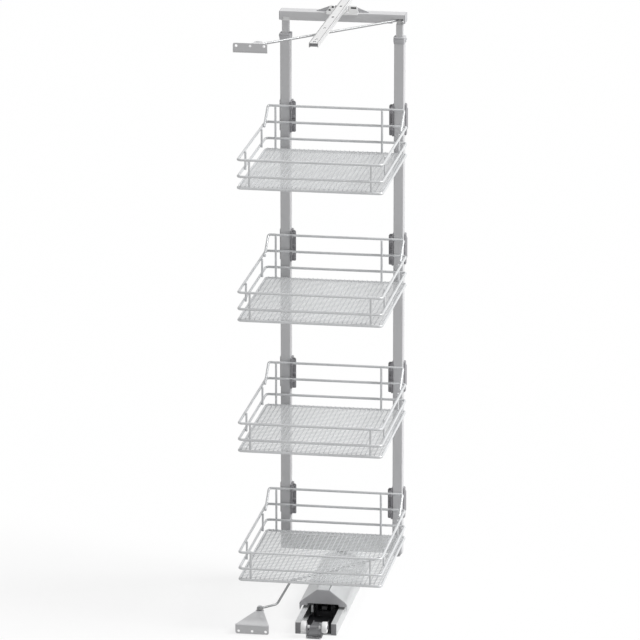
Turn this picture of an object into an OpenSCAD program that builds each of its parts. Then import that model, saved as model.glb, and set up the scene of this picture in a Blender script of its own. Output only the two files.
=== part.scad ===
// Pull-out larder unit: a floor runner carries a tall frame with four wire baskets. The frame is
// held upright by a ball-bearing guide at the top, and two link arms tie it to the cabinet door.
// Millimetres. X runs across the cabinet, -Y to the viewer, Z up. The underside of the floor rail
// is Z = 0, the frame's middle is X = 0 and the baskets' back wires lie in the plane Y = 0.

/* [Frame] */
// Width over the two uprights
frame_w = 345; // [300:1:500]
// Width of an upright tube
upright_w = 28; // [20:1:35]
// Depth of an upright tube
upright_d = 30; // [24:1:40]
// Wall of an upright tube
upright_wall = 2; // [1:0.5:3]
// Radius on the corners of an upright tube
upright_r = 3; // [1:0.5:5]
// Gap between the baskets' back-wire plane and the uprights
upright_gap = 8; // [6:0.5:20]
// Height of the uprights' feet above the cabinet floor
foot_z = 97.5; // [97:0.5:120]
// Length of an upright with its foot plug
upright_l = 1466; // [1400:0.5:1900]
// Thickness of the plug's plate under an upright
foot_t = 2; // [1:0.5:5]
// Depth that a foot plug reaches into its tube
foot_plug = 16; // [8:1:40]
// Width of a telescopic inner post
post_w = 18; // [12:1:20]
// Depth of a telescopic inner post
post_d = 22; // [14:1:25]
// Wall of an inner post
post_wall = 1.5; // [1:0.5:3]
// Length of an inner post
post_l = 420; // [200:10:600]
// Height that an inner post stands out of its collar
post_rise = 36.5; // [20:0.5:200]
// Rim of a collar around its upright
collar_rim = 2; // [1:0.5:6]
// Height of a collar
collar_h = 18.5; // [18:0.5:40]
// Diameter of a collar's screw
collar_screw_d = 5; // [4:0.5:6]
// Distance of a collar's screw from the collar's top
collar_screw_z = 8; // [6:0.5:10]
// Height of the lower cross beam
cross_h = 44; // [30:1:60]
// Wall of the lower cross beam
cross_wall = 2; // [1:0.5:3]
// Width of the cover plate on the cross beam
plate_w = 108; // [80:1:160]
// Thickness of the cover plate
plate_t = 1.5; // [1:0.5:3]
// Distance between the cover plate's two screws
plate_pitch = 61; // [30:1:75]
// Height of the cover plate's screws above the beam's underside
plate_screw_z = 26.5; // [10:0.5:34]
// Reach of the top beam past an upright
beam_over = 0.5; // [0:0.5:20]
// Depth of the top beam
beam_d = 42; // [40:1:55]
// Height of the top beam
beam_h = 25; // [20:0.5:40]
// Sheet of the top beam
beam_wall = 2; // [1.5:0.5:3]
// Distance of the top beam's front face from the uprights' front face
beam_set = 0; // [0:0.5:2]
// Height of the notches in the top beam's front wall
notch_h = 13; // [12.5:0.5:15]
// Reach of a notch from the post's axis towards the beam's end
notch_out = 12; // [10:0.5:14]
// Reach of the right notch, where the arm swings, from the post's axis towards the middle
notch_in = 18.5; // [18.5:0.5:30]
// Reach of the left notch from the post's axis towards the middle
notch_blind = 13; // [12.5:0.5:16]
// Thickness of an end cap
cap_t = 2; // [1:0.5:4]

/* [Door link arms] */
// Diameter of the arm rods
arm_d = 6.5; // [5:0.5:7]
// Outer diameter of the arms' eyes
eye_d = 18; // [16:0.5:20]
// Diameter of the pins in the eyes
pin_d = 8; // [6:0.5:9]
// Radial clearance of a pin in its bore
run_gap = 0.05; // [0.02:0.01:0.1]
// Distance of the door pivot from the frame's middle
pivot_x = 172; // [150:1:180]
// Distance of the door pivot in front of the back-wire plane
pivot_front = 343; // [300:1:400]
// Level stretch of the lower arm from the door pivot to its first bend
arm_low = 60; // [40:1:100]
// Stretch of the lower arm between its two bends
arm_bend = 50; // [40:1:100]
// Width of a door bracket's flange
bracket_w = 93; // [92:1:120]
// Height of a door bracket's flange
bracket_h = 27; // [24:0.5:40]
// Sheet of a door bracket
bracket_t = 3; // [2:0.5:4]
// Distance from the door face to the door pivot
bracket_reach = 128; // [80:1:140]
// Radius of the bracket's tip around its pivot
bracket_tip = 11; // [10:0.5:14]
// Diameter of the holes for the door screws
bracket_hole = 7.5; // [4:0.5:8]
// Distance between the holes for the door screws
bracket_pitch = 37.5; // [25:0.5:41]
// Distance of the holes from the flange's free edge
bracket_edge = 7.5; // [6:0.5:10]
// Height of the lower bracket's free edge above the cabinet floor
bracket_z = 2.5; // [1:0.5:4]
// Gap between a bracket's plate and the arm's eye
eye_gap = 1.75; // [0.5:0.25:3]

/* [Top guide] */
// Length of the guide rail
guide_l = 590; // [500:5:700]
// Distance that the guide rail stands out in front of the back-wire plane
guide_front = 476; // [472:1:520]
// Outside width of the guide rail
guide_w = 26; // [24:1:40]
// Outside height of the guide rail
guide_h = 13; // [11:0.5:20]
// Sheet of the guide rail
guide_t = 1.5; // [1:0.25:2.5]
// Number of screw holes in the guide rail
guide_holes = 4; // [2:1:6]
// Distance between the guide rail's screw holes
guide_pitch = 140; // [60:5:170]
// Distance of the first screw hole from the rail's front end
guide_first = 46; // [20:1:60]
// Diameter of the guide rail's screw holes
guide_hole = 5.5; // [4:0.5:7]
// Width of the runner inside the guide rail
runner_w = 15; // [10:1:17]
// Height of the runner
runner_h = 15; // [13:0.5:20]
// Length of the runner
runner_l = 152; // [100:1:160]
// Gap between the runner's top and the rail's sheet
runner_gap = 3.4; // [2:0.1:5]
// Length of the ball cage
cage_l = 360; // [250:5:365]
// Sheet of the ball cage
cage_t = 0.8; // [0.5:0.1:1.2]
// Number of balls on each side of the cage
balls = 12; // [6:1:20]
// Clearance of the balls to the rail and to the runner
ball_gap = 0.3; // [0.1:0.05:0.5]
// Thickness of the rail's end stops
stop_t = 5; // [3:0.5:6]
// Sheet of the hanger plate and its saddle
hanger_t = 3; // [2:0.5:4]
// Width of the hanger plate at its foot
hanger_w = 154; // [100:1:200]
// Width of the hanger plate at its top
hanger_top_w = 62; // [50:1:80]
// Height of the hanger plate
hanger_h = 17.5; // [12:0.5:19]
// Width of the saddle under the runner
saddle_w = 90; // [84:1:100]
// Width of the saddle's two lugs beside the guide
lug_w = 26; // [10:1:27]
// Height of the lugs above the beam
lug_h = 21; // [14:0.5:21]
// Depth that the saddle hangs in front of the beam
apron_h = 5; // [3:0.5:10]

/* [Floor runner] */
// Width of the floor rail
rail_w = 115; // [110:1:130]
// Height of the floor rail
rail_h = 33.6; // [33:0.1:40]
// Sheet of the floor rail
rail_t = 2; // [1.5:0.5:3]
// Distance that the floor rail stands out in front of the back-wire plane
rail_front = 440; // [436:1:460]
// Distance that the floor rail reaches behind the back-wire plane
rail_back = 110; // [108:1:150]
// Width of the rail's side channels
channel_w = 15; // [14.5:0.5:16]
// Length of the plugs in the channels' front ends
plug_l = 8; // [4:1:10]
// Diameter of the floor rail's screw holes
rail_hole = 5.5; // [4:0.5:6]
// Distance between the rail's left and right screw holes
rail_hole_x = 68; // [60:1:72]
// Distance between the rail's front and rear screw holes
rail_hole_y = 440; // [300:5:460]
// Distance of the rear screw holes behind the back-wire plane
rail_hole_back = 50; // [20:1:55]
// Width of the tongue on the floor rail
tongue_w = 43; // [40:1:43]
// Distance that the tongue stands out in front of the back-wire plane
tongue_front = 480; // [475:1:500]
// Distance from the back-wire plane to the tongue's rear end
tongue_back = 345; // [320:1:380]
// Sheet of the tongue
tongue_t = 2.5; // [2:0.5:3]
// Diameter of the front rollers
front_roller_d = 32; // [24:0.5:33]
// Width of a front roller
front_roller_w = 14; // [10:0.5:14]
// Distance of the front rollers' axle in front of the back-wire plane
front_roller_y = 465; // [460:1:470]
// Diameter of the carriage rollers
roller_d = 27.4; // [24:0.2:28]
// Width of a carriage roller
roller_w = 10; // [8:0.5:10]
// Distance of the middle rollers behind the back-wire plane
mid_roller_y = 5; // [4:1:20]
// Distance of the rear rollers behind the back-wire plane
rear_roller_y = 85; // [70:1:86]
// Diameter of the rollers' axles
axle_d = 8; // [6:0.5:9]
// Clearance between a roller's rim and what it rolls on
roll_gap = 0.3; // [0.2:0.1:0.5]
// Side play of a roller
side_gap = 0.5; // [0.3:0.1:0.8]
// Width of the catch housing
catch_w = 66; // [50:1:67]
// Height of the catch housing
catch_h = 41; // [30:1:42]
// Length of the catch housing
catch_l = 100; // [60:1:120]
// Distance from the back-wire plane to the catch housing's front
catch_front = 300; // [290:1:310]
// Diameter of the damper
damper_d = 16; // [12:0.5:22]
// Length of the damper
damper_l = 110; // [80:1:150]
// Diameter of the damper's rod
damper_rod = 5; // [4:0.5:8]
// Width of the carriage
carriage_w = 120; // [116:1:122]
// Sheet of the carriage
carriage_t = 3; // [2:0.5:4]
// Distance from the back-wire plane to the carriage's front
carriage_front = 312; // [300:1:314]
// Distance from the back-wire plane to the carriage's rear
carriage_back = 105; // [100:1:106]
// Width of the cover over its skirts
cover_w = 133; // [126:1:150]
// Width of the cover's flat top
cover_flat = 34; // [30:1:60]
// Height of the cover's flat top above the cabinet floor
cover_z = 88; // [84:0.5:88]
// Height of the cover's shoulders above the cabinet floor
shoulder_z = 53.5; // [52:0.5:70]
// Height of the cover's lower edge above the cabinet floor
skirt_z = 27; // [20:0.5:40]
// Sheet of the cover
cover_t = 1.5; // [1:0.25:2]
// Thickness of the cover's front cap
front_cap_t = 3; // [2:0.5:5]
// Height of the cap's lower edge beside the rail
front_cap_z = 41; // [36:0.5:45]

/* [Wire baskets] */
// Number of baskets
baskets = 4; // [4:1:4]
// Width of a basket between the middles of its side wires
basket_w = 393; // [350:1:480]
// Depth of a basket between the middles of its front and back wires
basket_d = 448; // [350:1:460]
// Offset of the baskets from the frame's middle, away from the door hinge
basket_shift = 15; // [0:0.5:20]
// Distance from one basket to the next
basket_pitch = 368.3; // [300:0.1:370]
// Height of the lowest basket's floor wire above the cabinet floor
basket_z = 150.4; // [148:0.1:170]
// Height of the lower hoop above the floor wire
hoop_b = 32; // [20:0.5:45]
// Height of the upper hoop above the floor wire
hoop_c = 78.3; // [60:0.1:90]
// Height of the back rail above the floor wire
rail_rise = 124.9; // [110:0.1:140]
// Diameter of the hoops
wire_d = 7; // [5:0.5:8]
// Diameter of the struts between the hoops
strut_d = 6; // [4:0.5:7]
// Radius of a hoop's corners
bend_r = 10; // [6:1:30]
// Distance from the back rail to the feet of its side legs
leg_y = 62; // [50:1:90]
// Distance from the back rail to the rear struts at the sides
back_strut_y = 100; // [80:1:200]
// Distance from the back rail to the front struts at the sides
front_strut_y = 358; // [250:1:400]
// Distance between the two struts at the front
strut_pitch = 331; // [200:1:340]
// Distance of the left back strut from the basket's middle
strut_left = 168; // [166:0.1:180]
// Distance of the right back strut from the basket's middle
strut_right = 129.3; // [100:0.1:140]
// Number of gaps in the floor net across the basket
net_x = 12; // [6:1:12]
// Number of gaps in the floor net from front to back
net_y = 8; // [5:1:8]
// Width of the floor net's bars
net_bar = 6; // [3:0.5:8]
// Thickness of the floor net
net_t = 2.5; // [2:0.5:4]
// Depth that the net is welded into the floor wire
weld = 0.3; // [0.2:0.1:0.4]

/* [Basket clips] */
// Gap between a clip and its upright
clip_gap = 0.3; // [0.1:0.1:0.5]
// Wall of a clip
clip_t = 4; // [3:0.5:5]
// Height of a clip above the back rail
clip_up = 11; // [9:0.5:20]
// Depth of a clip below the back rail
clip_down = 77; // [70:0.5:90]
// Width of a clip's inner flange
clip_flange = 14; // [10:0.5:18]
// Width of a clip's hooks
hook_w = 8; // [5:0.5:10]
// Rise of a hook's lip above its seat
hook_lip = 5; // [3:0.5:6]
// Depth of a clip's block behind its upright
clip_block = 22; // [16:0.5:26]
// Diameter of a clip's clamp screw
clamp_d = 6; // [4:0.5:8]

/* [Hidden] */
$fn = 48;

// Frame: heights and axes
upright_x = (frame_w - upright_w) / 2;
upright_in = frame_w / 2 - upright_w;
upright_y = upright_gap + upright_d / 2;
upright_back = upright_gap + upright_d;
tube_z = foot_z + foot_t;
upright_top = foot_z + upright_l;
collar_w = upright_w + 2 * collar_rim;
collar_d = upright_d + 2 * collar_rim;
collar_top = upright_top + collar_h;
post_top = collar_top + post_rise;
plug_t = 3;
plug_d = 18;
plug_head = [24, 24, 11.5];
stud_d = 12;
beam_gap = 2;
beam_w = frame_w + 2 * beam_over;
beam_z = post_top + beam_gap;
beam_top = beam_z + beam_h;
beam_front = upright_gap + beam_set;
beam_back = beam_front + beam_d;
cross_top = foot_z + cross_h;
plate_front = upright_gap - plate_t;
plate_screw_d = 4;

// Top guide: heights and ends, where a front end has the smaller Y
saddle_top = beam_top + hanger_t;
runner_top = saddle_top + runner_h;
guide_roof = runner_top + runner_gap;
guide_top = guide_roof + guide_t;
guide_z = guide_top - guide_h;
guide_inner = guide_w / 2 - guide_t;
guide_back = guide_l - guide_front;
ball_d = 2 * ((guide_inner - runner_w / 2) / 2 - ball_gap);
ball_x = (guide_inner + runner_w / 2) / 2;
ball_drop = 5;
ball_z = guide_roof - ball_drop;
guide_rest = 10;
cage_back = guide_back - guide_rest;
runner_back = guide_back - guide_rest;
cage_end = 10;
ball_pitch = (cage_l - 2 * cage_end) / (balls - 1);
hanger_y = upright_y - hanger_t / 2;
slot_gap = 2;
hanger_slot = guide_w / 2 + slot_gap;

// Floor runner: heights and places
tread_rise = 13.1;
roller_side = 2.5;
leg_gap = 3;
roller_z = rail_t + roll_gap + roller_d / 2;
front_roller_z = rail_h + tread_rise - front_roller_d / 2;
carriage_z = rail_h + tread_rise + roll_gap;
carriage_top = carriage_z + carriage_t;
roller_x = rail_w / 2 - rail_t - roller_side - roller_w / 2;
channel_in = rail_w / 2 - channel_w;
leg_in = channel_in - leg_gap - carriage_t;
cover_front = carriage_front + 1;
cover_in = cover_z - cover_t;
front_roller_in = tongue_w / 2 + side_gap;
front_axle_end = front_roller_in + front_roller_w + side_gap;
axle_y = [mid_roller_y, rear_roller_y];
axle_ring = 3;
tongue_screw_d = 5;
tongue_screw_y = [-tongue_back - 15, -tongue_back - 60];
damper_in = 12;
damper_z = rail_t + 18;

// Door link: heights and the arms' pins
plug_gap = 1.5;
arm_top_z = post_top + plug_t + plug_gap + eye_gap + arm_d / 2;
bracket_top_z = arm_top_z + arm_d / 2 + eye_gap;
arm_low_z = bracket_z + bracket_h + eye_gap + arm_d / 2;
arm_high_z = cover_z + (foot_z - cover_z) / 2;
door_y = -pivot_front - bracket_reach;
pin_head = 3;
pin_rim = 3;
elbow_grow = 0.6;
post_pin = [upright_x, upright_y];
door_pin = [-pivot_x, -pivot_front];

// Baskets, from the lowest to the highest
floor_z = [for (i = [0:baskets - 1]) basket_z + i * basket_pitch];
wire_r = wire_d / 2;
strut_in = wire_r + strut_d / 2 - weld;
strut_over = 3;
rail_in = wire_d - weld;

// Clips: the clamp block's lower and upper edge, measured from the clip's foot and the back rail
block_up = 10;
block_drop = 5;

module box(x, y, z) {
    translate([x[0], y[0], z[0]]) cube([x[1] - x[0], y[1] - y[0], z[1] - z[0]]);
}

module rod(a, b, d) {
    v = b - a;
    translate(a) rotate([0, acos(v.z / norm(v)), atan2(v.y, v.x)]) cylinder(d = d, h = norm(v));
}

// The child and its copy mirrored across the frame's middle
module pair() {
    children();
    mirror([1, 0, 0]) children();
}

module round_rect(w, d, r) {
    square([w - 2 * r, d], center = true);
    square([w, d - 2 * r], center = true);
    for (x = [-1, 1], y = [-1, 1]) translate([x * (w / 2 - r), y * (d / 2 - r)]) circle(r = r);
}

// A screw along +Z whose head ends at z = 0 and stands towards -Z
module screw(d, l) {
    head_d = d * 1.8;
    head_h = d * 0.5;
    cylinder(d = d, h = l);
    translate([0, 0, -head_h]) cylinder(d = head_d, h = head_h);
}

module floor_rail() {
    w = rail_w / 2;
    c = channel_in;
    t = rail_t;
    h = rail_h;
    section = [[-w, 0], [w, 0], [w, h], [c, h], [c, h - t], [w - t, h - t], [w - t, t],
               [t - w, t], [t - w, h - t], [-c, h - t], [-c, h], [-w, h]];
    color("gainsboro") difference() {
        translate([0, rail_back, 0]) rotate([90, 0, 0]) linear_extrude(rail_back + rail_front)
            polygon(section);
        for (x = [-1, 1], y = [rail_hole_back, rail_hole_back - rail_hole_y])
            translate([x * rail_hole_x / 2, y, -1]) cylinder(d = rail_hole, h = t + 2);
    }
}

module rail_tongue() {
    w = tongue_w / 2;
    ear_l = 24;
    ear_top = front_roller_z + axle_d / 2 + axle_ring;
    color("dimgray") difference() {
        union() {
            box([-w, w], [-tongue_front, -tongue_back], [rail_t, rail_t + tongue_t]);
            pair() box([w - tongue_t, w], [-front_roller_y - ear_l / 2, -front_roller_y + ear_l / 2],
                       [rail_t, ear_top]);
        }
        translate([-w - 1, -front_roller_y, front_roller_z]) rotate([0, 90, 0])
            cylinder(d = axle_d, h = tongue_w + 2);
        for (y = tongue_screw_y) translate([0, y, 0])
            cylinder(d = tongue_screw_d, h = rail_t + tongue_t + 1);
    }
}

// The two screws that hold the tongue on the rail
module rail_screws() {
    color("silver") for (y = tongue_screw_y)
        translate([0, y, rail_t + tongue_t]) mirror([0, 0, 1]) screw(tongue_screw_d, tongue_t);
}

// A plate closes the rail's rear end, and a plug closes each channel's front end
module rail_end_stops() {
    w = rail_w / 2 - rail_t;
    z = [rail_t, rail_h - rail_t];
    back_t = 4;
    color("dimgray") {
        box([-w, w], [rail_back - back_t, rail_back], z);
        pair() box([channel_in, w], [-rail_front, plug_l - rail_front], z);
    }
}

module front_axle() {
    ring_t = 1.5;
    end = front_axle_end + ring_t;
    color("silver") translate([0, -front_roller_y, front_roller_z]) rotate([0, 90, 0]) {
        translate([0, 0, -end]) cylinder(d = axle_d, h = 2 * end);
        for (x = [-end, front_axle_end]) translate([0, 0, x])
            cylinder(d = axle_d + axle_ring, h = ring_t);
    }
}

module front_rollers() {
    color("white") pair() translate([front_roller_in, -front_roller_y, front_roller_z])
        rotate([0, 90, 0]) difference() {
            cylinder(d = front_roller_d, h = front_roller_w);
            translate([0, 0, -1]) cylinder(d = axle_d + 2 * run_gap, h = front_roller_w + 2);
        }
}

// The housing that catches and brakes the carriage stands on the rail
module catch_housing() {
    w = catch_w / 2;
    back = catch_l - catch_front;
    z = [rail_t, rail_t + catch_h];
    trough = [-catch_front - 1, back - 30];
    trough_floor = 16;
    step = [20 - catch_front, back - 15];
    step_w = 8;
    step_floor = 12;
    color("#26262a") difference() {
        box([-w, w], [-catch_front, back], z);
        box([-w / 2, w / 2], trough, [rail_t + trough_floor, z[1] + 1]);
        box([w - step_w, w + 1], step, [rail_t + step_floor, z[1] + 1]);
        translate([0, back - damper_in, damper_z]) rotate([-90, 0, 0])
            cylinder(d = damper_d, h = damper_in + 1);
    }
}

// The damper sits in the housing; its rod ends in an anchor plate that stands on the rail
module damper() {
    front = catch_l - catch_front - damper_in;
    foot = front + damper_l;
    rod_end = foot + 24;
    anchor_w = 16;
    anchor_t = 3;
    anchor_top = damper_z + damper_d / 2;
    color("gray") translate([0, 0, damper_z]) {
        rod([0, front, 0], [0, foot, 0], damper_d);
        rod([0, foot, 0], [0, rod_end, 0], damper_rod);
    }
    color("gray")
        box([-anchor_w / 2, anchor_w / 2], [rod_end, rod_end + anchor_t], [rail_t, anchor_top]);
}

module carriage_plate() {
    w = carriage_w / 2;
    leg_x = [leg_in, leg_in + carriage_t];
    leg_span = [mid_roller_y - 20, rear_roller_y + 15];
    leg_foot = roller_z - axle_d;
    color("silver") difference() {
        union() {
            box([-w, w], [-carriage_front, carriage_back], [carriage_z, carriage_top]);
            pair() box(leg_x, leg_span, [leg_foot, carriage_z]);
        }
        for (y = axle_y) translate([-w, y, roller_z]) rotate([0, 90, 0])
            cylinder(d = axle_d, h = carriage_w);
    }
}

// Four stub axles, each with a collar against the leg and a head outside its roller
module carriage_axles() {
    leg_out = leg_in + carriage_t;
    hub_out = roller_x + roller_w / 2;
    hub_rim = 5;
    head_t = 1;
    color("gray") pair() for (y = axle_y) translate([0, y, roller_z]) rotate([0, 90, 0]) {
        translate([0, 0, leg_in]) cylinder(d = axle_d, h = hub_out + side_gap + head_t - leg_in);
        translate([0, 0, leg_out])
            cylinder(d = axle_d + hub_rim, h = hub_out - roller_w - side_gap - leg_out);
        translate([0, 0, hub_out + side_gap]) cylinder(d = axle_d + axle_ring, h = head_t);
    }
}

module carriage_rollers(y) {
    color("whitesmoke") pair() translate([roller_x - roller_w / 2, y, roller_z])
        rotate([0, 90, 0]) difference() {
            cylinder(d = roller_d, h = roller_w);
            translate([0, 0, -1]) cylinder(d = axle_d + 2 * run_gap, h = roller_w + 2);
        }
}

// Outline of the cover's right half, from the middle of its top to the lower edge of its skirt;
// the bend factors keep the sheet's thickness on the slopes of an inset outline
shoulder_in = 5;
shoulder_h = 7;
top_bend = 0.33;
slope_bend = [0.7, 0.6];
function cover_side(inset) = [
    [cover_flat / 2 - inset * top_bend, cover_z - inset],
    [cover_w / 2 - shoulder_in - inset * slope_bend.x, shoulder_z - inset * slope_bend.y],
    [cover_w / 2 - inset, shoulder_z - shoulder_h],
    [cover_w / 2 - inset, skirt_z]
];
function mirror_x(points) = [for (i = [len(points) - 1:-1:0]) [-points[i].x, points[i].y]];

module runner_cover() {
    outer = cover_side(0);
    inner = cover_side(cover_t);
    color("whitesmoke") translate([0, carriage_back, 0]) rotate([90, 0, 0])
        linear_extrude(carriage_back + cover_front) difference() {
            polygon(concat(outer, mirror_x(outer)));
            polygon(concat(inner, [[inner[3].x, skirt_z - 1], [-inner[3].x, skirt_z - 1]],
                           mirror_x(inner)));
        }
}

// The cap closes the cover's front above the rail and passes over the front rollers
module cover_cap() {
    outer = cover_side(0);
    foot = front_axle_end + 6;
    rim = [outer[0], outer[1], outer[2], [outer[3].x, front_cap_z], [foot, front_cap_z],
           [foot, carriage_z]];
    color("gray") translate([0, -cover_front, 0]) rotate([90, 0, 0]) linear_extrude(front_cap_t)
        polygon(concat(rim, mirror_x(rim)));
}

module inner_bridge() {
    w = cover_flat / 2 - carriage_t;
    over = 20;
    y = [upright_gap - over, upright_back + over];
    color("silver") difference() {
        box([-w, w], y, [carriage_top, cover_in]);
        box([carriage_t - w, w - carriage_t], [y[0] - 1, y[1] + 1],
            [carriage_top + carriage_t, cover_in - carriage_t]);
    }
}

module beam_spacer() {
    w = 22;
    in = 2;
    color("dimgray")
        box([-w / 2, w / 2], [upright_gap + in, upright_back - in], [cover_z, foot_z]);
}

module cross_beam() {
    t = cross_wall;
    color("silver") difference() {
        box([-upright_in, upright_in], [upright_gap, upright_back], [foot_z, cross_top]);
        box([-upright_in - 1, upright_in + 1], [upright_gap + t, upright_back - t],
            [foot_z + t, cross_top - t]);
        for (x = [-1, 1]) translate([x * plate_pitch / 2, upright_gap + t + 1, foot_z + plate_screw_z])
            rotate([90, 0, 0]) cylinder(d = plate_screw_d, h = t + 2);
    }
}

module beam_plate() {
    w = plate_w / 2;
    color("silver") difference() {
        box([-w, w], [plate_front, upright_gap], [foot_z, cross_top]);
        for (x = [-1, 1]) translate([x * plate_pitch / 2, upright_gap + 1, foot_z + plate_screw_z])
            rotate([90, 0, 0]) cylinder(d = plate_screw_d, h = plate_t + 2);
    }
}

module beam_plate_screws() {
    thread_out = 4;
    color("dimgray") for (x = [-1, 1])
        translate([x * plate_pitch / 2, plate_front, foot_z + plate_screw_z]) rotate([-90, 0, 0])
            screw(plate_screw_d, plate_t + cross_wall + thread_out);
}

module upright(side) {
    color("silver") translate([side * upright_x, upright_y, tube_z])
        linear_extrude(upright_top - tube_z) difference() {
            round_rect(upright_w, upright_d, upright_r);
            square([upright_w - 2 * upright_wall, upright_d - 2 * upright_wall], center = true);
        }
}

module foot_plugs() {
    color("dimgray") pair() translate([upright_x, upright_y, foot_z]) {
        linear_extrude(foot_t) round_rect(upright_w, upright_d, upright_r);
        translate([0, 0, foot_t]) linear_extrude(foot_plug)
            square([upright_w - 2 * upright_wall, upright_d - 2 * upright_wall], center = true);
    }
}

module collar(side) {
    color("gray") translate([side * upright_x, upright_y, upright_top]) difference() {
        linear_extrude(collar_h) difference() {
            round_rect(collar_w, collar_d, upright_r + collar_rim / 2);
            square([post_w, post_d], center = true);
        }
        translate([0, 0, collar_h - collar_screw_z]) rotate([0, side * 90, 0])
            cylinder(d = collar_screw_d, h = collar_w);
    }
}

// A screw in each collar's outer side holds the post at its height
module collar_screws() {
    color("gray") pair()
        translate([upright_x + collar_w / 2, upright_y, upright_top + collar_h - collar_screw_z])
            rotate([0, -90, 0]) screw(collar_screw_d, (collar_w - post_w) / 2);
}

module inner_post(side) {
    color("silver") translate([side * upright_x, upright_y, post_top - post_l])
        linear_extrude(post_l) difference() {
            square([post_w, post_d], center = true);
            square([post_w - 2 * post_wall, post_d - 2 * post_wall], center = true);
        }
}

// A plug closes each post and its stud holds the top beam. The right stud carries the upper link
// arm; where the left post has no arm, a block fills the beam's notch
module post_plugs() {
    inner = [post_w - 2 * post_wall, post_d - 2 * post_wall];
    color("white") pair() translate([upright_x, upright_y, post_top]) {
        translate([0, 0, -foot_plug]) linear_extrude(foot_plug) square(inner, center = true);
        cylinder(d = plug_d, h = plug_t);
        cylinder(d = stud_d, h = beam_top - beam_wall - post_top);
    }
    color("white") translate([-upright_x, upright_y, post_top])
        linear_extrude(plug_head.z) square([plug_head.x, plug_head.y], center = true);
}

module top_beam() {
    w = beam_w / 2;
    t = beam_wall;
    wall_y = [beam_front - 1, beam_front + t + 1];
    notch_z = [beam_z - 1, beam_z + notch_h];
    color("silver") difference() {
        box([-w, w], [beam_front, beam_back], [beam_z, beam_top]);
        box([-w - 1, w + 1], [beam_front + t, beam_back - t], [beam_z - 1, beam_top - t]);
        box([upright_x - notch_in, upright_x + notch_out], wall_y, notch_z);
        box([-upright_x - notch_out, notch_blind - upright_x], wall_y, notch_z);
    }
}

module beam_end_caps() {
    w = beam_w / 2;
    y = [beam_front + beam_wall, beam_back - beam_wall];
    cap_in = 3;
    color("gray") pair() {
        box([w, w + cap_t], [beam_front, beam_back], [beam_z, beam_top]);
        box([w - cap_in, w], y, [beam_z + notch_h, beam_top - beam_wall]);
    }
}

// An upright plate on the beam, open in the middle for the guide
module hanger_plate() {
    foot = hanger_w / 2;
    head = hanger_top_w / 2;
    slot = hanger_slot;
    outline = [[-foot, 0], [foot, 0], [head, hanger_h], [slot, hanger_h], [slot, hanger_t],
               [-slot, hanger_t], [-slot, hanger_h], [-head, hanger_h]];
    color("gray") {
        translate([0, hanger_y + hanger_t, beam_top]) rotate([90, 0, 0]) linear_extrude(hanger_t)
            polygon(outline);
    }
}

// The saddle lies on the beam, hangs a little in front of it and stands up beside the guide
module hanger_saddle() {
    w = saddle_w / 2;
    y = beam_front - hanger_t;
    color("white") {
        box([-w, w], [y, hanger_y], [beam_top, saddle_top]);
        box([-w, w], [y, beam_front], [beam_top - apron_h, saddle_top]);
        box([-w, w], [hanger_y + hanger_t, beam_back], [beam_top, saddle_top]);
        pair() box([w - lug_w, w], [y, beam_front], [saddle_top, beam_top + lug_h]);
    }
}

module guide_runner() {
    w = runner_w / 2;
    color("gainsboro") box([-w, w], [runner_back - runner_l, runner_back], [saddle_top, runner_top]);
}

module top_guide_rail() {
    w = guide_w / 2;
    color("whitesmoke") difference() {
        box([-w, w], [-guide_front, guide_back], [guide_z, guide_top]);
        box([-guide_inner, guide_inner], [-guide_front - 1, guide_back + 1], [guide_z - 1, guide_roof]);
        for (i = [0:guide_holes - 1])
            translate([0, guide_first - guide_front + i * guide_pitch, guide_roof - 1])
                cylinder(d = guide_hole, h = guide_t + 2);
    }
}

module guide_end_stops() {
    color("dimgray") for (y = [-guide_front, guide_back - stop_t])
        box([-guide_inner, guide_inner], [y, y + stop_t], [guide_z, guide_roof]);
}

module ball_cage() {
    x = [ball_x - cage_t / 2, ball_x + cage_t / 2];
    y = [cage_back - cage_l, cage_back];
    roof = runner_top + cage_t;
    drop = 3;
    color("gray") difference() {
        union() {
            pair() box(x, y, [ball_z - drop, roof + cage_t]);
            box([-x[1], x[1]], y, [roof, roof + cage_t]);
        }
        for (i = [0:balls - 1]) translate([-guide_w, y[0] + cage_end + i * ball_pitch, ball_z])
            rotate([0, 90, 0]) cylinder(d = ball_d, h = 2 * guide_w);
    }
}

module guide_balls() {
    color("silver") pair() for (i = [0:balls - 1])
        translate([ball_x, cage_back - cage_l + cage_end + i * ball_pitch, ball_z])
            sphere(d = ball_d);
}

// An eye around a vertical pin, with its bore
module eye(p, z) {
    translate([p.x, p.y, z - arm_d / 2]) cylinder(d = eye_d, h = arm_d);
}

module eye_bore(p, z, d) {
    translate([p.x, p.y, z - arm_d]) cylinder(d = d + 2 * run_gap, h = 2 * arm_d);
}

module top_arm() {
    color("silver") difference() {
        union() {
            rod([post_pin.x, post_pin.y, arm_top_z], [door_pin.x, door_pin.y, arm_top_z], arm_d);
            eye(post_pin, arm_top_z);
            eye(door_pin, arm_top_z);
        }
        eye_bore(post_pin, arm_top_z, stud_d);
        eye_bore(door_pin, arm_top_z, pin_d);
    }
}

// The lower arm starts level beside the rail, climbs and runs level over the cover
module bottom_arm() {
    way = (post_pin - door_pin) / norm(post_pin - door_pin);
    low = door_pin + arm_low * way;
    high = door_pin + (arm_low + arm_bend) * way;
    route = [[door_pin.x, door_pin.y, arm_low_z], [low.x, low.y, arm_low_z],
             [high.x, high.y, arm_high_z], [post_pin.x, post_pin.y, arm_high_z]];
    color("silver") difference() {
        union() {
            for (i = [0:2]) rod(route[i], route[i + 1], arm_d);
            for (i = [1, 2]) translate(route[i]) sphere(d = arm_d + elbow_grow);
            eye(door_pin, arm_low_z);
            eye(post_pin, arm_high_z);
        }
        eye_bore(door_pin, arm_low_z, pin_d);
        eye_bore(post_pin, arm_high_z, pin_d);
    }
}

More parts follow.
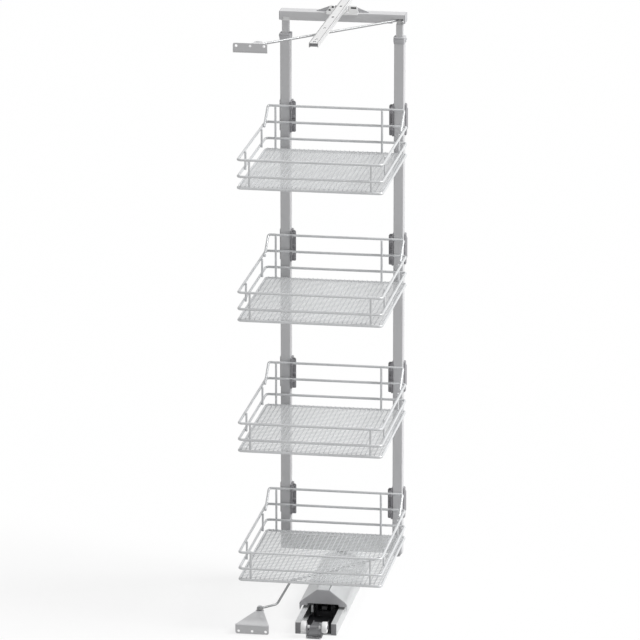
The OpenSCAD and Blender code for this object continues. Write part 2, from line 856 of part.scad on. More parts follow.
// The pin under the right foot; its shaft ends in the foot plug's underside
module bottom_arm_pin() {
    head_top = arm_high_z - arm_d / 2 - side_gap;
    color("silver") translate([post_pin.x, post_pin.y, 0]) {
        translate([0, 0, head_top - pin_head]) cylinder(d = pin_d, h = foot_z + pin_head - head_top);
        translate([0, 0, head_top - pin_head]) cylinder(d = pin_d + 2 * pin_rim, h = pin_head);
    }
}

// Plan of a bracket's plate: a triangle from the door face to the tip around the pivot
module bracket_plan() {
    w = bracket_w / 2;
    lean = atan2(w, bracket_reach);
    side = [bracket_tip * cos(lean), bracket_tip * sin(lean)];
    circle(r = bracket_tip);
    polygon([[-w, -bracket_reach], [w, -bracket_reach], side, [-side.x, side.y]]);
}

// One door bracket with its pivot at the origin, its plate on z = 0 and its flange above
module door_bracket() {
    w = bracket_w / 2;
    y = [-bracket_reach, bracket_t - bracket_reach];
    color("lightgray") difference() {
        union() {
            linear_extrude(bracket_t) bracket_plan();
            box([-w, w], y, [0, bracket_h]);
        }
        translate([0, 0, -1]) cylinder(d = pin_d, h = bracket_t + 2);
        for (i = [-1:1]) translate([i * bracket_pitch, y[1] + 1, bracket_h - bracket_edge])
            rotate([90, 0, 0]) cylinder(d = bracket_hole, h = bracket_t + 2);
    }
}

module top_door_bracket() {
    translate([door_pin.x, door_pin.y, bracket_top_z]) door_bracket();
}

module bottom_door_bracket() {
    translate([door_pin.x, door_pin.y, bracket_z + bracket_h]) mirror([0, 0, 1]) door_bracket();
}

// A door pin seen from its bracket: the shaft fills the plate and passes through the arm's eye
module door_pin_solid() {
    reach = eye_gap + arm_d + side_gap;
    rivet_rim = 2;
    rivet_t = 1;
    translate([0, 0, -reach]) cylinder(d = pin_d, h = reach + bracket_t);
    translate([0, 0, -reach - pin_head]) cylinder(d = pin_d + 2 * pin_rim, h = pin_head);
    translate([0, 0, bracket_t]) cylinder(d = pin_d + 2 * rivet_rim, h = rivet_t);
}

module top_door_pin() {
    color("silver") translate([door_pin.x, door_pin.y, bracket_top_z]) door_pin_solid();
}

module bottom_door_pin() {
    color("silver") translate([door_pin.x, door_pin.y, bracket_z + bracket_h])
        mirror([0, 0, 1]) door_pin_solid();
}

// Profile of a hook in the YZ plane, around a wire that crosses at the origin
module hook_profile() {
    slot = wire_r + clip_gap;
    front = slot + clip_t;
    foot = -slot - 5;
    bevel = 2;
    head = slot + 3;
    polygon([[upright_gap, foot], [bevel - front, foot], [-front, foot + bevel],
             [-front, hook_lip - slot], [-slot, hook_lip - slot], [-slot, -slot], [slot, -slot],
             [slot, head], [upright_gap, head]]);
}

// A clip on the right upright for a back rail at height z
module clip(z) {
    in = upright_in - clip_gap;
    out = frame_w / 2 + clip_gap;
    back = upright_back + clip_gap;
    inner_y = upright_gap - 2;
    outer_y = upright_gap + 4;
    flange_y = [upright_gap + 10, upright_gap + 10 + clip_t];
    height = [z - clip_down, z + clip_up];
    block = [z - clip_down + block_up, z - block_drop];
    corner_r = 6;
    corner = [in - clip_flange + corner_r, height[1] - corner_r];
    difference() {
        union() {
            box([in - clip_t, in], [inner_y, back + clip_t], height);
            box([out, out + clip_t], [outer_y, back + clip_t], height);
            box([in - clip_t, out + clip_t], [back, back + clip_t], height);
            box([in - clip_t, out + clip_t], [back, back + clip_block], block);
            box([in - clip_flange, in], flange_y, [height[0], corner.y]);
            box([corner.x, in], flange_y, height);
            translate([corner.x, flange_y[1], corner.y]) rotate([90, 0, 0])
                cylinder(r = corner_r, h = clip_t);
            for (wire_z = [z, z - rail_rise + hoop_c]) translate([in - hook_w, 0, wire_z])
                rotate([90, 0, 90]) linear_extrude(hook_w) hook_profile();
        }
        translate([upright_x, back - 1, (block[0] + block[1]) / 2]) rotate([-90, 0, 0])
            cylinder(d = clamp_d, h = clip_block + 2);
    }
}

module basket_clips(i) {
    color("#77757c") pair() clip(floor_z[i] + rail_rise);
}

// Clamp screws of all clips, each in its clip's block
module clamp_screws(i) {
    y = upright_back + clip_gap;
    z = floor_z[i] + rail_rise - (clip_down - block_up + block_drop) / 2;
    color("silver") pair() translate([upright_x, y + clip_block, z]) rotate([90, 0, 0])
        screw(clamp_d, clip_block);
}

// One corner of a hoop: a quarter ring from the +X side to the +Y side
module hoop_corner(x, y) {
    translate([x * (basket_w / 2 - bend_r), y * (basket_d / 2 - bend_r), 0])
        rotate([0, 0, x > 0 ? (y > 0 ? 0 : -90) : (y > 0 ? 90 : 180)])
            rotate_extrude(angle = 90) translate([bend_r, 0]) circle(d = wire_d);
}

module hoop() {
    x = basket_w / 2;
    y = basket_d / 2;
    for (s = [-1, 1]) {
        rod([bend_r - x, s * y, 0], [x - bend_r, s * y, 0], wire_d);
        rod([s * x, bend_r - y, 0], [s * x, y - bend_r, 0], wire_d);
    }
    for (sx = [-1, 1], sy = [-1, 1]) hoop_corner(sx, sy);
}

// The back rail lies over the upper hoop's back wire, and its legs slope down inside the side wires
module back_rail() {
    x = basket_w / 2 - rail_in;
    y = basket_d / 2;
    foot_y = leg_y + strut_over;
    foot_drop = (rail_rise - hoop_c) * foot_y / leg_y;
    rod([-x, y, rail_rise], [x, y, rail_rise], wire_d);
    for (s = [-1, 1]) {
        translate([s * x, y, rail_rise]) sphere(d = wire_d + elbow_grow);
        rod([s * x, y, rail_rise], [s * x, y - foot_y, rail_rise - foot_drop], wire_d);
    }
}

// An upright strut that ends a little past the wires it is welded to
module strut(x, y, low, high) {
    rod([x, y, low - strut_over], [x, y, high + strut_over], strut_d);
}

// The struts stand inside the hoops
module basket_frame(i) {
    x = basket_w / 2 - strut_in;
    y = basket_d / 2;
    color("gainsboro") translate([-basket_shift, -y, floor_z[i]]) {
        for (z = [0, hoop_b, hoop_c]) translate([0, 0, z]) hoop();
        back_rail();
        for (s = [-1, 1]) {
            strut(s * x, y - back_strut_y, hoop_b, hoop_c);
            strut(s * x, y - front_strut_y, hoop_b, hoop_c);
            strut(s * strut_pitch / 2, strut_in - y, 0, hoop_c);
        }
        strut(-strut_left, y - strut_in, 0, rail_rise);
        strut(strut_right, y - strut_in, 0, rail_rise);
    }
}

module basket_net(i) {
    w = basket_w;
    d = basket_d;
    gap_x = (w - (net_x + 1) * net_bar) / net_x;
    gap_y = (d - (net_y + 1) * net_bar) / net_y;
    gaps = [for (a = [0:net_x - 1], b = [0:net_y - 1])
        let (x = net_bar + a * (gap_x + net_bar) - w / 2, y = net_bar + b * (gap_y + net_bar) - d / 2)
        [[x, y], [x, y + gap_y], [x + gap_x, y + gap_y], [x + gap_x, y]]];
    rim = [[-w, -d], [w, -d], [w, d], [-w, d]] / 2;
    points = concat(rim, [for (g = gaps) each g]);
    paths = [for (k = [0:len(gaps)]) [4 * k, 4 * k + 1, 4 * k + 2, 4 * k + 3]];
    color("gainsboro") translate([-basket_shift, -d / 2, floor_z[i] + wire_r - weld])
        linear_extrude(net_t) polygon(points, paths);
}

floor_rail();
rail_tongue();
rail_screws();
rail_end_stops();
front_axle();
catch_housing();
damper();
top_guide_rail();
guide_end_stops();
front_rollers();
ball_cage();
guide_balls();
carriage_plate();
carriage_axles();
runner_cover();
cover_cap();
inner_bridge();
beam_spacer();
cross_beam();
beam_plate();
beam_plate_screws();
upright(-1);  // left_upright
upright(1);  // right_upright
foot_plugs();
collar(-1);  // left_collar
collar(1);  // right_collar
collar_screws();
inner_post(-1);  // left_inner_post
inner_post(1);  // right_inner_post
post_plugs();
top_beam();
beam_end_caps();
hanger_plate();
hanger_saddle();
guide_runner();
bottom_arm_pin();
carriage_rollers(mid_roller_y);  // mid_rollers
carriage_rollers(rear_roller_y);  // rear_rollers
top_arm();
bottom_arm();
top_door_bracket();
bottom_door_bracket();
top_door_pin();
bottom_door_pin();
basket_frame(0);  // basket_1
basket_net(0);  // basket_net_1
basket_clips(0);  // basket_clips_1
clamp_screws(0);  // clamp_screws_1
basket_frame(1);  // basket_2
basket_net(1);  // basket_net_2
basket_clips(1);  // basket_clips_2
clamp_screws(1);  // clamp_screws_2
basket_frame(2);  // basket_3
basket_net(2);  // basket_net_3
basket_clips(2);  // basket_clips_3
clamp_screws(2);  // clamp_screws_3
basket_frame(3);  // basket_4
basket_net(3);  // basket_net_4
basket_clips(3);  // basket_clips_4
clamp_screws(3);  // clamp_screws_4
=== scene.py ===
"""Dresses the pull-out larder unit: wire baskets, tall frame, floor runner, top guide and door link."""
import math

import bmesh
import bpy
import numpy as np
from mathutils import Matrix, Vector
from mathutils.geometry import tessellate_polygon


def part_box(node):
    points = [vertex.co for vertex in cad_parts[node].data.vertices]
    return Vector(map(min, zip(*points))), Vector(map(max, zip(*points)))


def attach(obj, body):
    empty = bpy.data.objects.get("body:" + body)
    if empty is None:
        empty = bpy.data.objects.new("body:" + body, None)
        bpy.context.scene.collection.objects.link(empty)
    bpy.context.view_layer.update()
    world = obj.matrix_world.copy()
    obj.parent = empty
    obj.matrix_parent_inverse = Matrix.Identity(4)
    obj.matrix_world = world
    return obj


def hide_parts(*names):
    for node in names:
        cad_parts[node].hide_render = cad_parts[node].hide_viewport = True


bl_info = {
    "name": "Pull-out larder unit",
    "version": (1, 0, 0),
    "blender": (4, 5, 0),
    "location": "View3D > Sidebar > Larder",
    "description": "Baskets, frame, runner, guide and door link of a tall pull-out larder unit",
    "category": "Add Mesh",
}

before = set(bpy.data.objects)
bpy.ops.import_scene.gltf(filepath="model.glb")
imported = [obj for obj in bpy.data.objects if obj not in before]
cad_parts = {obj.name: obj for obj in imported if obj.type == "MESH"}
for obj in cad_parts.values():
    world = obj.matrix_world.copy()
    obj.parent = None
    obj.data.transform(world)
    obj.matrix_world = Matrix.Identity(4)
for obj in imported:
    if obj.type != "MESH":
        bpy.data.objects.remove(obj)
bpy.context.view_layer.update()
MM = 0.001
ROUND = 24                      # segments of a small round part
SMOOTH = 32                     # degrees: a flatter edge is shaded smooth
BASKETS = range(1, 5)

# Sizes in millimetres that more than one piece shares
ELBOW = 0.3                     # the back rail's bends stand out by this at the back and the top
PIN_BORE = 4.05                 # radius of the rollers' bores and of the arms' narrow eyes
ARM_ROD, ARM_EYE = 3.25, 9.0    # radii of the link arms' rod and of their eyes
COVER_FLAT = 34.0               # width of the runner cover's flat top
COVER_SHOULDER = 53.5           # height of the runner cover's shoulders
GUIDE_SHEET = 1.5               # thickness of the top guide's sheet
SLOT_SHADE_RIM = 0.9                  # width of the dark rim round each of the guide's slots, which is painted shade
TONGUE_SHEET = 2.5              # thickness of the rail tongue's sheet
TONGUE_HOLES = (15, 60)         # distances of the tongue's screws from its back


# ---------------------------------------------------------------- places from the frame

def node_box(node):
    """Lowest and highest corner of a node at rest, in millimetres."""
    low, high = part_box(node)
    return np.array(low) / MM, np.array(high) / MM


def node_middle(node):
    """Middle of a node's box: half the sum of its corners."""
    low, high = node_box(node)
    return (low + high) / 2


# ---------------------------------------------------------------- shapes
# A shape is a pair (vertices, faces): an (n, 3) array in millimetres and a list of index lists.

def merged(*shapes):
    """One shape from several, with the indices of each moved past those before it."""
    vertices, faces, start = [], [], 0
    for points, polygons in shapes:
        vertices.append(points)
        faces += [[start + i for i in polygon] for polygon in polygons]
        start += len(points)
    return np.vstack(vertices), faces


def mirrored(shape):
    """The shape's copy across the plane X = 0, with its faces turned round to point outwards."""
    return shape[0] * np.array([-1.0, 1.0, 1.0]), [polygon[::-1] for polygon in shape[1]]


def both_sides(shape):
    """A shape on the right and its mirror image on the left."""
    return merged(shape, mirrored(shape))


def lattice(rows, columns, close_rows=False):
    """Quads between neighbours of a grid whose columns close: each joins (r, c) to (r + 1, c + 1)."""
    r, c = np.meshgrid(np.arange(rows if close_rows else rows - 1), np.arange(columns), indexing="ij")
    r_next, c_next = (r + 1) % rows, (c + 1) % columns
    corners = [r * columns + c, r * columns + c_next, r_next * columns + c_next, r_next * columns + c]
    return np.stack(corners, -1).reshape(-1, 4).tolist()


def tube_faces(rings, sides, closed):
    """Faces between rings laid one after the other. The last ring of a closed tube joins the first,
    and an open one has a lid on each end."""
    faces = lattice(rings, sides, closed)
    if not closed:
        faces += [list(range(sides))[::-1], list(range((rings - 1) * sides, rings * sides))]
    return faces


def along(axis, u, v, w):
    """Puts plan coordinates u, v and height w in X, Y, Z order: w runs along the named axis."""
    order = {"x": (w, u, v), "y": (v, w, u), "z": (u, v, w)}[axis]
    return np.stack(np.broadcast_arrays(*order), -1)


def corner_arcs(before, corner, after, radii, steps):
    """Arcs in place of corners, all at once. At an inner angle of 2h an arc starts radius / tan(h)
    before its corner, though never past 0.49 of the shorter edge, and its centre lies radius / sin(h)
    along the bisector. A point at share t blends the ends by sin((1 - t) turn) and sin(t turn)."""
    back, ahead = before - corner, after - corner
    back_l, ahead_l = np.linalg.norm(back, axis=1), np.linalg.norm(ahead, axis=1)
    a, b = back / back_l[:, None], ahead / ahead_l[:, None]
    half = np.arccos(np.clip((a * b).sum(1), -1, 1)) / 2
    reach = np.minimum(radii / np.tan(half), 0.49 * np.minimum(back_l, ahead_l))
    bisector = (a + b) / np.maximum(np.linalg.norm(a + b, axis=1), 1e-9)[:, None]
    centre = corner + bisector * (reach * np.tan(half) / np.sin(half))[:, None]
    first, last = corner + a * reach[:, None] - centre, corner + b * reach[:, None] - centre
    turn = (np.pi - 2 * half)[:, None, None]
    t = np.linspace(0, 1, steps)[None, :, None]
    blend = np.sin((1 - t) * turn) * first[:, None] + np.sin(t * turn) * last[:, None]
    arcs = centre[:, None] + blend / np.maximum(np.sin(turn), 1e-9)
    return arcs.reshape(-1, corner.shape[1])


def rounded(corners, radii, steps=5):
    """Closed outline whose corners are arcs, of one radius or of one each."""
    p = np.array(corners, float)
    radii = np.broadcast_to(radii, len(p))
    points = corner_arcs(np.roll(p, 1, 0), p, np.roll(p, -1, 0), radii, steps)
    return points[np.linalg.norm(points - np.roll(points, 1, 0), axis=1) > 1e-4]


def bent(corners, radius, steps=7):
    """An open path whose inner corners are arcs."""
    p = np.array(corners, float)
    return np.vstack([p[:1], corner_arcs(p[:-2], p[1:-1], p[2:], radius, steps), p[-1:]])


def rectangle(low, high, radii, steps=5):
    """Rounded rectangle from its low corner: on along the first coordinate, then the second."""
    (u0, v0), (u1, v1) = low, high
    return rounded([(u0, v0), (u1, v0), (u1, v1), (u0, v1)], radii, steps)


def circle(radius, centre=(0, 0), count=ROUND):
    """Points at radius times the cosine and sine of even angles round the centre."""
    angle = np.arange(count) * 2 * np.pi / count
    return np.stack([np.cos(angle), np.sin(angle)], 1) * radius + np.array(centre, float)


def slot_outline(length, width, centre=(0, 0)):
    """A slot along the first coordinate: a rectangle rounded by nearly half its width."""
    half, middle = np.array([length, width]) / 2, np.array(centre, float)
    return rectangle(middle - half, middle + half, half[1] * 0.98)


def other_half(points):
    """The points mirrored across X = 0 in reverse order, which close a symmetric outline."""
    return [(-x, z) for x, z in points[::-1]]


def area_sign(loop):
    """1 for a loop that runs anticlockwise and -1 for the other way: the sign of its area."""
    x, y = loop[:, 0], loop[:, 1]
    return np.sign((x * np.roll(y, -1) - np.roll(x, -1) * y).sum())


def inset(loop, amount):
    """The loop moved into the material by amount: each point along the mean of its edges' normals."""
    tangent = np.roll(loop, -1, 0) - np.roll(loop, 1, 0)
    tangent /= np.maximum(np.linalg.norm(tangent, axis=1), 1e-9)[:, None]
    return loop + amount * np.stack([-tangent[:, 1], tangent[:, 0]], 1)


def plate(outer, span, axis="z", holes=(), bevel=0.3):
    """A sheet of any outline with holes. Its rim and each hole are four rings: the outline drawn in
    by the bevel at both faces, and the outline itself a bevel's depth further in."""
    loops = [outer if area_sign(outer) > 0 else outer[::-1]]
    loops += [hole if area_sign(hole) < 0 else hole[::-1] for hole in holes]
    low, high = span
    depth = min(bevel, 0.45 * (high - low))
    vertices, faces, start = [], [], 0
    bottom, top = [], []
    for loop in loops:
        narrow, count = inset(loop, depth), len(loop)
        for ring, level in ((narrow, low), (loop, low + depth), (loop, high - depth), (narrow, high)):
            vertices.append(along(axis, ring[:, 0], ring[:, 1], np.full(count, level)))
        faces += [[start + i for i in quad] for quad in lattice(4, count)]
        bottom.extend(range(start, start + count))
        top.extend(range(start + 3 * count, start + 4 * count))
        start += 4 * count
    fill = tessellate_polygon([[Vector((*point, 0.0)) for point in inset(loop, depth)] for loop in loops])
    faces += [[bottom[i] for i in triangle] for triangle in fill]
    faces += [[top[i] for i in triangle[::-1]] for triangle in fill]
    return np.vstack(vertices), faces


def block(low, high, axis="z", corner=1.0, bevel=0.4):
    """A box with rounded edges along the axis and bevelled ends."""
    u, v, w = {"x": (1, 2, 0), "y": (2, 0, 1), "z": (0, 1, 2)}[axis]
    outer = rectangle((low[u], low[v]), (high[u], high[v]), corner)
    return plate(outer, (low[w], high[w]), axis, bevel=bevel)


def lathe(profile, centre, axis="z", count=ROUND, ring=False):
    """A profile of (radius, height) points turned about an axis: a point goes to radius times the
    cosine and sine of each angle. A ring's profile is closed, and a solid's ends get lids."""
    profile = np.array(profile, float)
    angle = np.arange(count) * 2 * np.pi / count
    points = along(axis, profile[:, :1] * np.cos(angle), profile[:, :1] * np.sin(angle), profile[:, 1:])
    return points.reshape(-1, 3) + np.array(centre, float), tube_faces(len(profile), count, ring)


def wire(path, radius, across, sides=14, closed=False):
    """A round wire: at each point of the path, a ring of radius times (cosine, sine) on the path's
    side and the fixed direction across it. Open ends are drawn in over a third of the radius."""
    path = np.array(path, float)
    if closed:
        tangent = np.roll(path, -1, 0) - np.roll(path, 1, 0)
        size = np.full(len(path), radius)
    else:
        tangent = np.gradient(path, axis=0)
        steps = tangent / np.linalg.norm(tangent, axis=1)[:, None]
        path = np.vstack([path[:1], path[:1] + steps[:1] * radius * 0.35, path[1:-1],
                          path[-1:] - steps[-1:] * radius * 0.35, path[-1:]])
        tangent = np.vstack([tangent[:1], tangent[:1], tangent[1:-1], tangent[-1:], tangent[-1:]])
        size = np.full(len(path), radius)
        size[[0, -1]] *= 0.6
    tangent /= np.linalg.norm(tangent, axis=1)[:, None]
    up = np.array(across, float) / np.linalg.norm(across)
    side = np.cross(tangent, up)
    side /= np.linalg.norm(side, axis=1)[:, None]
    angle = np.arange(sides) * 2 * np.pi / sides
    rings = (path[:, None] + size[:, None, None]
             * (np.cos(angle)[:, None] * side[:, None] + np.sin(angle)[:, None] * up))
    return rings.reshape(-1, 3), tube_faces(len(path), sides, closed)


def straight_wires(starts, ends, radius, sides=8):
    """Many parallel level wires at once: two rings each, of radius times (cosine, sine) square to them."""
    tangent = (ends[0] - starts[0]) / np.linalg.norm(ends[0] - starts[0])
    up = np.array([0.0, 0.0, 1.0])
    angle = (np.arange(sides) + 0.5) * 2 * np.pi / sides
    ring = radius * (np.cos(angle)[:, None] * np.cross(tangent, up) + np.sin(angle)[:, None] * up)
    points = np.stack([starts[:, None] + ring, ends[:, None] + ring], 1)
    offset = (np.arange(len(starts)) * 2 * sides)[:, None, None]
    faces = (np.array(lattice(2, sides))[None] + offset).reshape(-1, 4).tolist()
    lids = np.stack([np.arange(sides)[::-1], np.arange(sides) + sides])
    faces += (lids[None] + offset).reshape(-1, sides).tolist()
    return points.reshape(-1, 3), faces


def add_piece(name, shape, body, look, nodes=()):
    """Turns a shape into an object at the origin, in metres, riding on its body, with its faces
    turned outwards. The slot is the one of its finish."""
    vertices, faces = shape
    mesh = bpy.data.meshes.new(name)
    mesh.from_pydata((vertices * MM).tolist(), [], faces)
    cleaner = bmesh.new()
    cleaner.from_mesh(mesh)
    bmesh.ops.recalc_face_normals(cleaner, faces=cleaner.faces)
    cleaner.to_mesh(mesh)
    cleaner.free()
    mesh.materials.append(finish(look))
    mesh.shade_smooth()
    mesh.set_sharp_from_angle(angle=math.radians(SMOOTH))
    piece = bpy.data.objects.new(name, mesh)
    bpy.context.scene.collection.objects.link(piece)
    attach(piece, body)
    if nodes:
        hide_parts(*nodes)


def repaint(look, *nodes):
    """A CAD node keeps its shape and takes a finish."""
    for node in nodes:
        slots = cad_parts[node].data.materials
        slots.clear()
        slots.append(finish(look))


# ---------------------------------------------------------------- finishes

def set_inputs(tree, node, inputs):
    """Sets a node's inputs, or links those whose value is another node's output."""
    for name, value in inputs.items():
        if isinstance(value, bpy.types.NodeSocket):
            tree.links.new(value, node.inputs[name])
        else:
            node.inputs[name].default_value = value


def add_node(tree, kind, inputs, output, **settings):
    """The named output of a new shader node with its settings and inputs."""
    node = tree.nodes.new(kind)
    for name, value in settings.items():
        setattr(node, name, value)
    set_inputs(tree, node, inputs)
    return node.outputs[output]


def noise(tree, coordinates, scale, detail, stretch=(1, 1, 1)):
    """A noise pattern on object coordinates; a value under 1 makes it longer along that axis."""
    place = add_node(tree, "ShaderNodeMapping", {"Vector": coordinates, "Scale": stretch}, "Vector")
    return add_node(tree, "ShaderNodeTexNoise", {"Vector": place, "Scale": scale, "Detail": detail}, "Fac")


def between(tree, factor, low, high):
    """Maps a pattern's middle range, 0.3 to 0.7, to low and high."""
    inputs = {"Value": factor, "From Min": 0.3, "From Max": 0.7, "To Min": low, "To Max": high}
    return add_node(tree, "ShaderNodeMapRange", inputs, "Result")


def tinted(tree, factor, colour, spread):
    """A colour that a pattern makes darker and lighter by the spread."""
    dark, light = [(*[min(1, c * share) for c in colour], 1) for share in (1 - spread, 1 + spread)]
    inputs = {"Factor": between(tree, factor, 0.0, 1.0), "A": dark, "B": light}
    return add_node(tree, "ShaderNodeMix", inputs, "Result", data_type="RGBA")


def grained(name, colour, roughness, metallic=0.0, grain=900, relief=0.00012, spread=0.04,
            patch=9, stretch=(1, 1, 1), coat=0.0):
    """Common build of every finish: fine grain in the relief and the roughness, wide faint patches
    in the colour."""
    material = bpy.data.materials.new(name)
    material.use_nodes = True
    tree = material.node_tree
    coordinates = add_node(tree, "ShaderNodeTexCoord", {}, "Object")
    fine = noise(tree, coordinates, grain, 2.0, stretch)
    wide = noise(tree, coordinates, patch, 3.0)
    bump = {"Height": fine, "Strength": 0.5, "Distance": relief}
    shader = tree.nodes["Principled BSDF"]
    set_inputs(tree, shader, {
        "Base Color": tinted(tree, wide, colour, spread),
        "Roughness": between(tree, fine, roughness * 0.85, min(1, roughness * 1.15)),
        "Normal": add_node(tree, "ShaderNodeBump", bump, "Normal"),
        "Metallic": metallic, "Coat Weight": coat})
    if coat:
        set_inputs(tree, shader, {"Coat Roughness": 0.15})
    return material


def powder_coat(colour):
    """Fine orange-peel relief of a satin coat on the frame's tubes."""
    return grained("powder coat", colour, 0.42, grain=700, relief=0.00018, spread=0.02, coat=0.08)


def zinc_sheet(name, colour, metallic=0.1):
    """Rolled sheet with a zinc coat: faint lengthwise grain and cloudy patches."""
    return grained(name, colour, 0.4, metallic=metallic, grain=420, relief=0.0001, spread=0.035,
                   patch=26, stretch=(1, 0.06, 1))


def dark_sheet(colour):
    """Dark coated sheet of the tongue and the stops."""
    return grained("dark sheet", colour, 0.45, metallic=0.15, grain=500, spread=0.09, patch=30)


def drawn_steel(name, colour):
    """Drawn rod and turned pins: bright metal with fine lengthwise lines."""
    return grained(name, colour, 0.3, metallic=0.35, grain=1400, relief=0.00006, spread=0.04,
                   patch=22, stretch=(1, 1, 0.1))


def plated_wire(colour):
    """Satin plating of the basket wires, a little cloudy at the welds."""
    return grained("plated wire", colour, 0.28, metallic=0.2, grain=650, relief=0.00006, spread=0.05,
                   patch=14)


def net_wire(colour):
    """Duller plating of the thin net wires."""
    return grained("net wire", colour, 0.38, metallic=0.15, grain=800, relief=0.00004, spread=0.04,
                   patch=12)


def moulded(name, colour, roughness=0.5):
    """Moulded plastic with spark-eroded grain."""
    return grained(name, colour, roughness, grain=1600, relief=0.0001, spread=0.05, patch=34)


def extruded_plastic(colour):
    """The cover's plastic: smooth, with faint lengthwise die lines."""
    return grained("extruded plastic", colour, 0.36, grain=600, relief=0.00006, spread=0.012,
                   stretch=(1, 0.02, 1), coat=0.1)


def gloss_plastic(colour):
    """Smooth white plastic of the rollers and plugs."""
    return grained("white plastic", colour, 0.22, grain=500, relief=0.00003, spread=0.02, coat=0.2)


# ---------------------------------------------------------------- settings

def length_property(name, description, default, low, high):
    """A length in millimetres with its limits."""
    return bpy.props.FloatProperty(name=name, description=description + " in mm", default=default,
                                   min=low, max=high)


def colour_property(name, description, default):
    """A colour in linear values."""
    return bpy.props.FloatVectorProperty(name=name, description=description, default=default,
                                         subtype="COLOR", size=3, min=0, max=1)


class LarderBasketSettings(bpy.types.PropertyGroup):
    """Sizes of the wire baskets in millimetres."""
    hoop_wire: length_property("Hoop wire", "Diameter of the hoops' wire", 7.0, 5, 8)
    strut_wire: length_property("Strut wire", "Diameter of the struts' wire", 6.0, 4, 7)
    lower_hoop: length_property("Lower hoop", "Height of the lower hoop above the floor wire", 32.0, 20, 45)
    upper_hoop: length_property("Upper hoop", "Height of the upper hoop above the floor wire", 78.3, 60, 90)
    corner: length_property("Corner radius", "Radius of the hoops' corners", 10.0, 6, 30)
    leg_reach: length_property("Leg reach", "Distance from the back rail to the feet of its legs",
                               62.0, 50, 90)
    rear_strut: length_property("Rear strut", "Distance from the back rail to the rear side struts",
                                100.0, 80, 200)
    front_strut: length_property("Front strut", "Distance from the back rail to the front side struts",
                                 358.0, 250, 400)
    net_wire: length_property("Net wire", "Diameter of the floor net's wires", 2.6, 1.5, 4)
    net_pitch: length_property("Net pitch", "Distance between the floor net's wires", 12.5, 8, 30)


class LarderFinishSettings(bpy.types.PropertyGroup):
    """Colours of the finishes, in linear values."""
    coat: colour_property("Powder coat", "Frame, beams and door brackets", (0.67, 0.67, 0.68))
    zinc: colour_property("Zinc sheet", "Floor rail, carriage, guide runner and small sheet parts",
                          (0.80, 0.81, 0.81))
    guide: colour_property("Guide sheet", "Top guide rail and saddle", (0.90, 0.90, 0.90))
    # The dark finish is the own colour of the tongue, stops and rail plugs; on the front axle and on the
    # guide's slot rims and dimples it is painted shade.
    dark: colour_property("Dark sheet", "Tongue, front axle, stops and the guide's marks",
                          (0.27, 0.27, 0.28))
    # On the nets' lengthwise wires drawn steel is painted shade: they are the cross wires' plating, made
    # darker.
    steel: colour_property("Drawn steel", "Pins, carriage axles, screws and the nets' lengthwise wires",
                           (0.60, 0.61, 0.62))
    rod: colour_property("Link rod", "Rods of the door link's arms", (0.40, 0.405, 0.41))
    wire: colour_property("Plated wire", "Basket wires", (0.70, 0.71, 0.72))
    net: colour_property("Net wire", "The floor nets' cross wires", (0.80, 0.81, 0.82))
    clip: colour_property("Clip plastic", "Basket clips", (0.32, 0.315, 0.33))
    grey: colour_property("Grey plastic", "Collars, foot plugs, end caps, hanger plate and runner cap",
                          (0.55, 0.55, 0.565))
    cover: colour_property("Cover plastic", "Runner cover", (0.78, 0.79, 0.795))
    white: colour_property("White plastic", "Rollers and post plugs", (0.94, 0.94, 0.94))
    # Black is the catch housing's and spacer's own colour; on the ball cage and on the cover's edge strip it
    # is painted shade.
    black: colour_property("Black plastic", "Catch housing, ball cage and beam spacer", (0.018, 0.018, 0.02))


class LarderStageSettings(bpy.types.PropertyGroup):
    """The studio: its light and its floor."""
    sky: bpy.props.FloatProperty(
        name="Sky", description="Brightness of the even light", default=0.36, min=0, max=2)
    sun: bpy.props.FloatProperty(
        name="Sun", description="Strength of the soft light from the upper right", default=3.0, min=0, max=8)
    floor_shade: bpy.props.FloatProperty(
        name="Floor shade", description="Share of real light on the floor, which shows the shadow",
        default=0.2, min=0, max=1)


FINISHES = {}


def finish(look):
    """The material of a finish. All are made once, from the colours in the sidebar."""
    if not FINISHES:
        colours = bpy.context.scene.larder_finish
        FINISHES.update(
            coat=powder_coat(colours.coat), zinc=zinc_sheet("zinc sheet", colours.zinc),
            guide=zinc_sheet("guide sheet", colours.guide, 0.6), dark=dark_sheet(colours.dark),
            steel=drawn_steel("drawn steel", colours.steel), rod=drawn_steel("link rod", colours.rod),
            wire=plated_wire(colours.wire), net=net_wire(colours.net),
            clip=moulded("clip plastic", colours.clip), grey=moulded("grey plastic", colours.grey),
            cover=extruded_plastic(colours.cover), white=gloss_plastic(colours.white),
            black=moulded("black plastic", colours.black, 0.42))
    return FINISHES[look]


# ---------------------------------------------------------------- baskets and clips

def hoop(low, high, height, radius, corner):
    """A hoop in a level plane: a rectangle between the wire's middles with arcs at its corners."""
    plan = rectangle(low[:2], high[:2], corner, 9)
    path = np.column_stack([plan, np.full(len(plan), height)])
    return wire(path, radius, (0, 0, 1), closed=True)


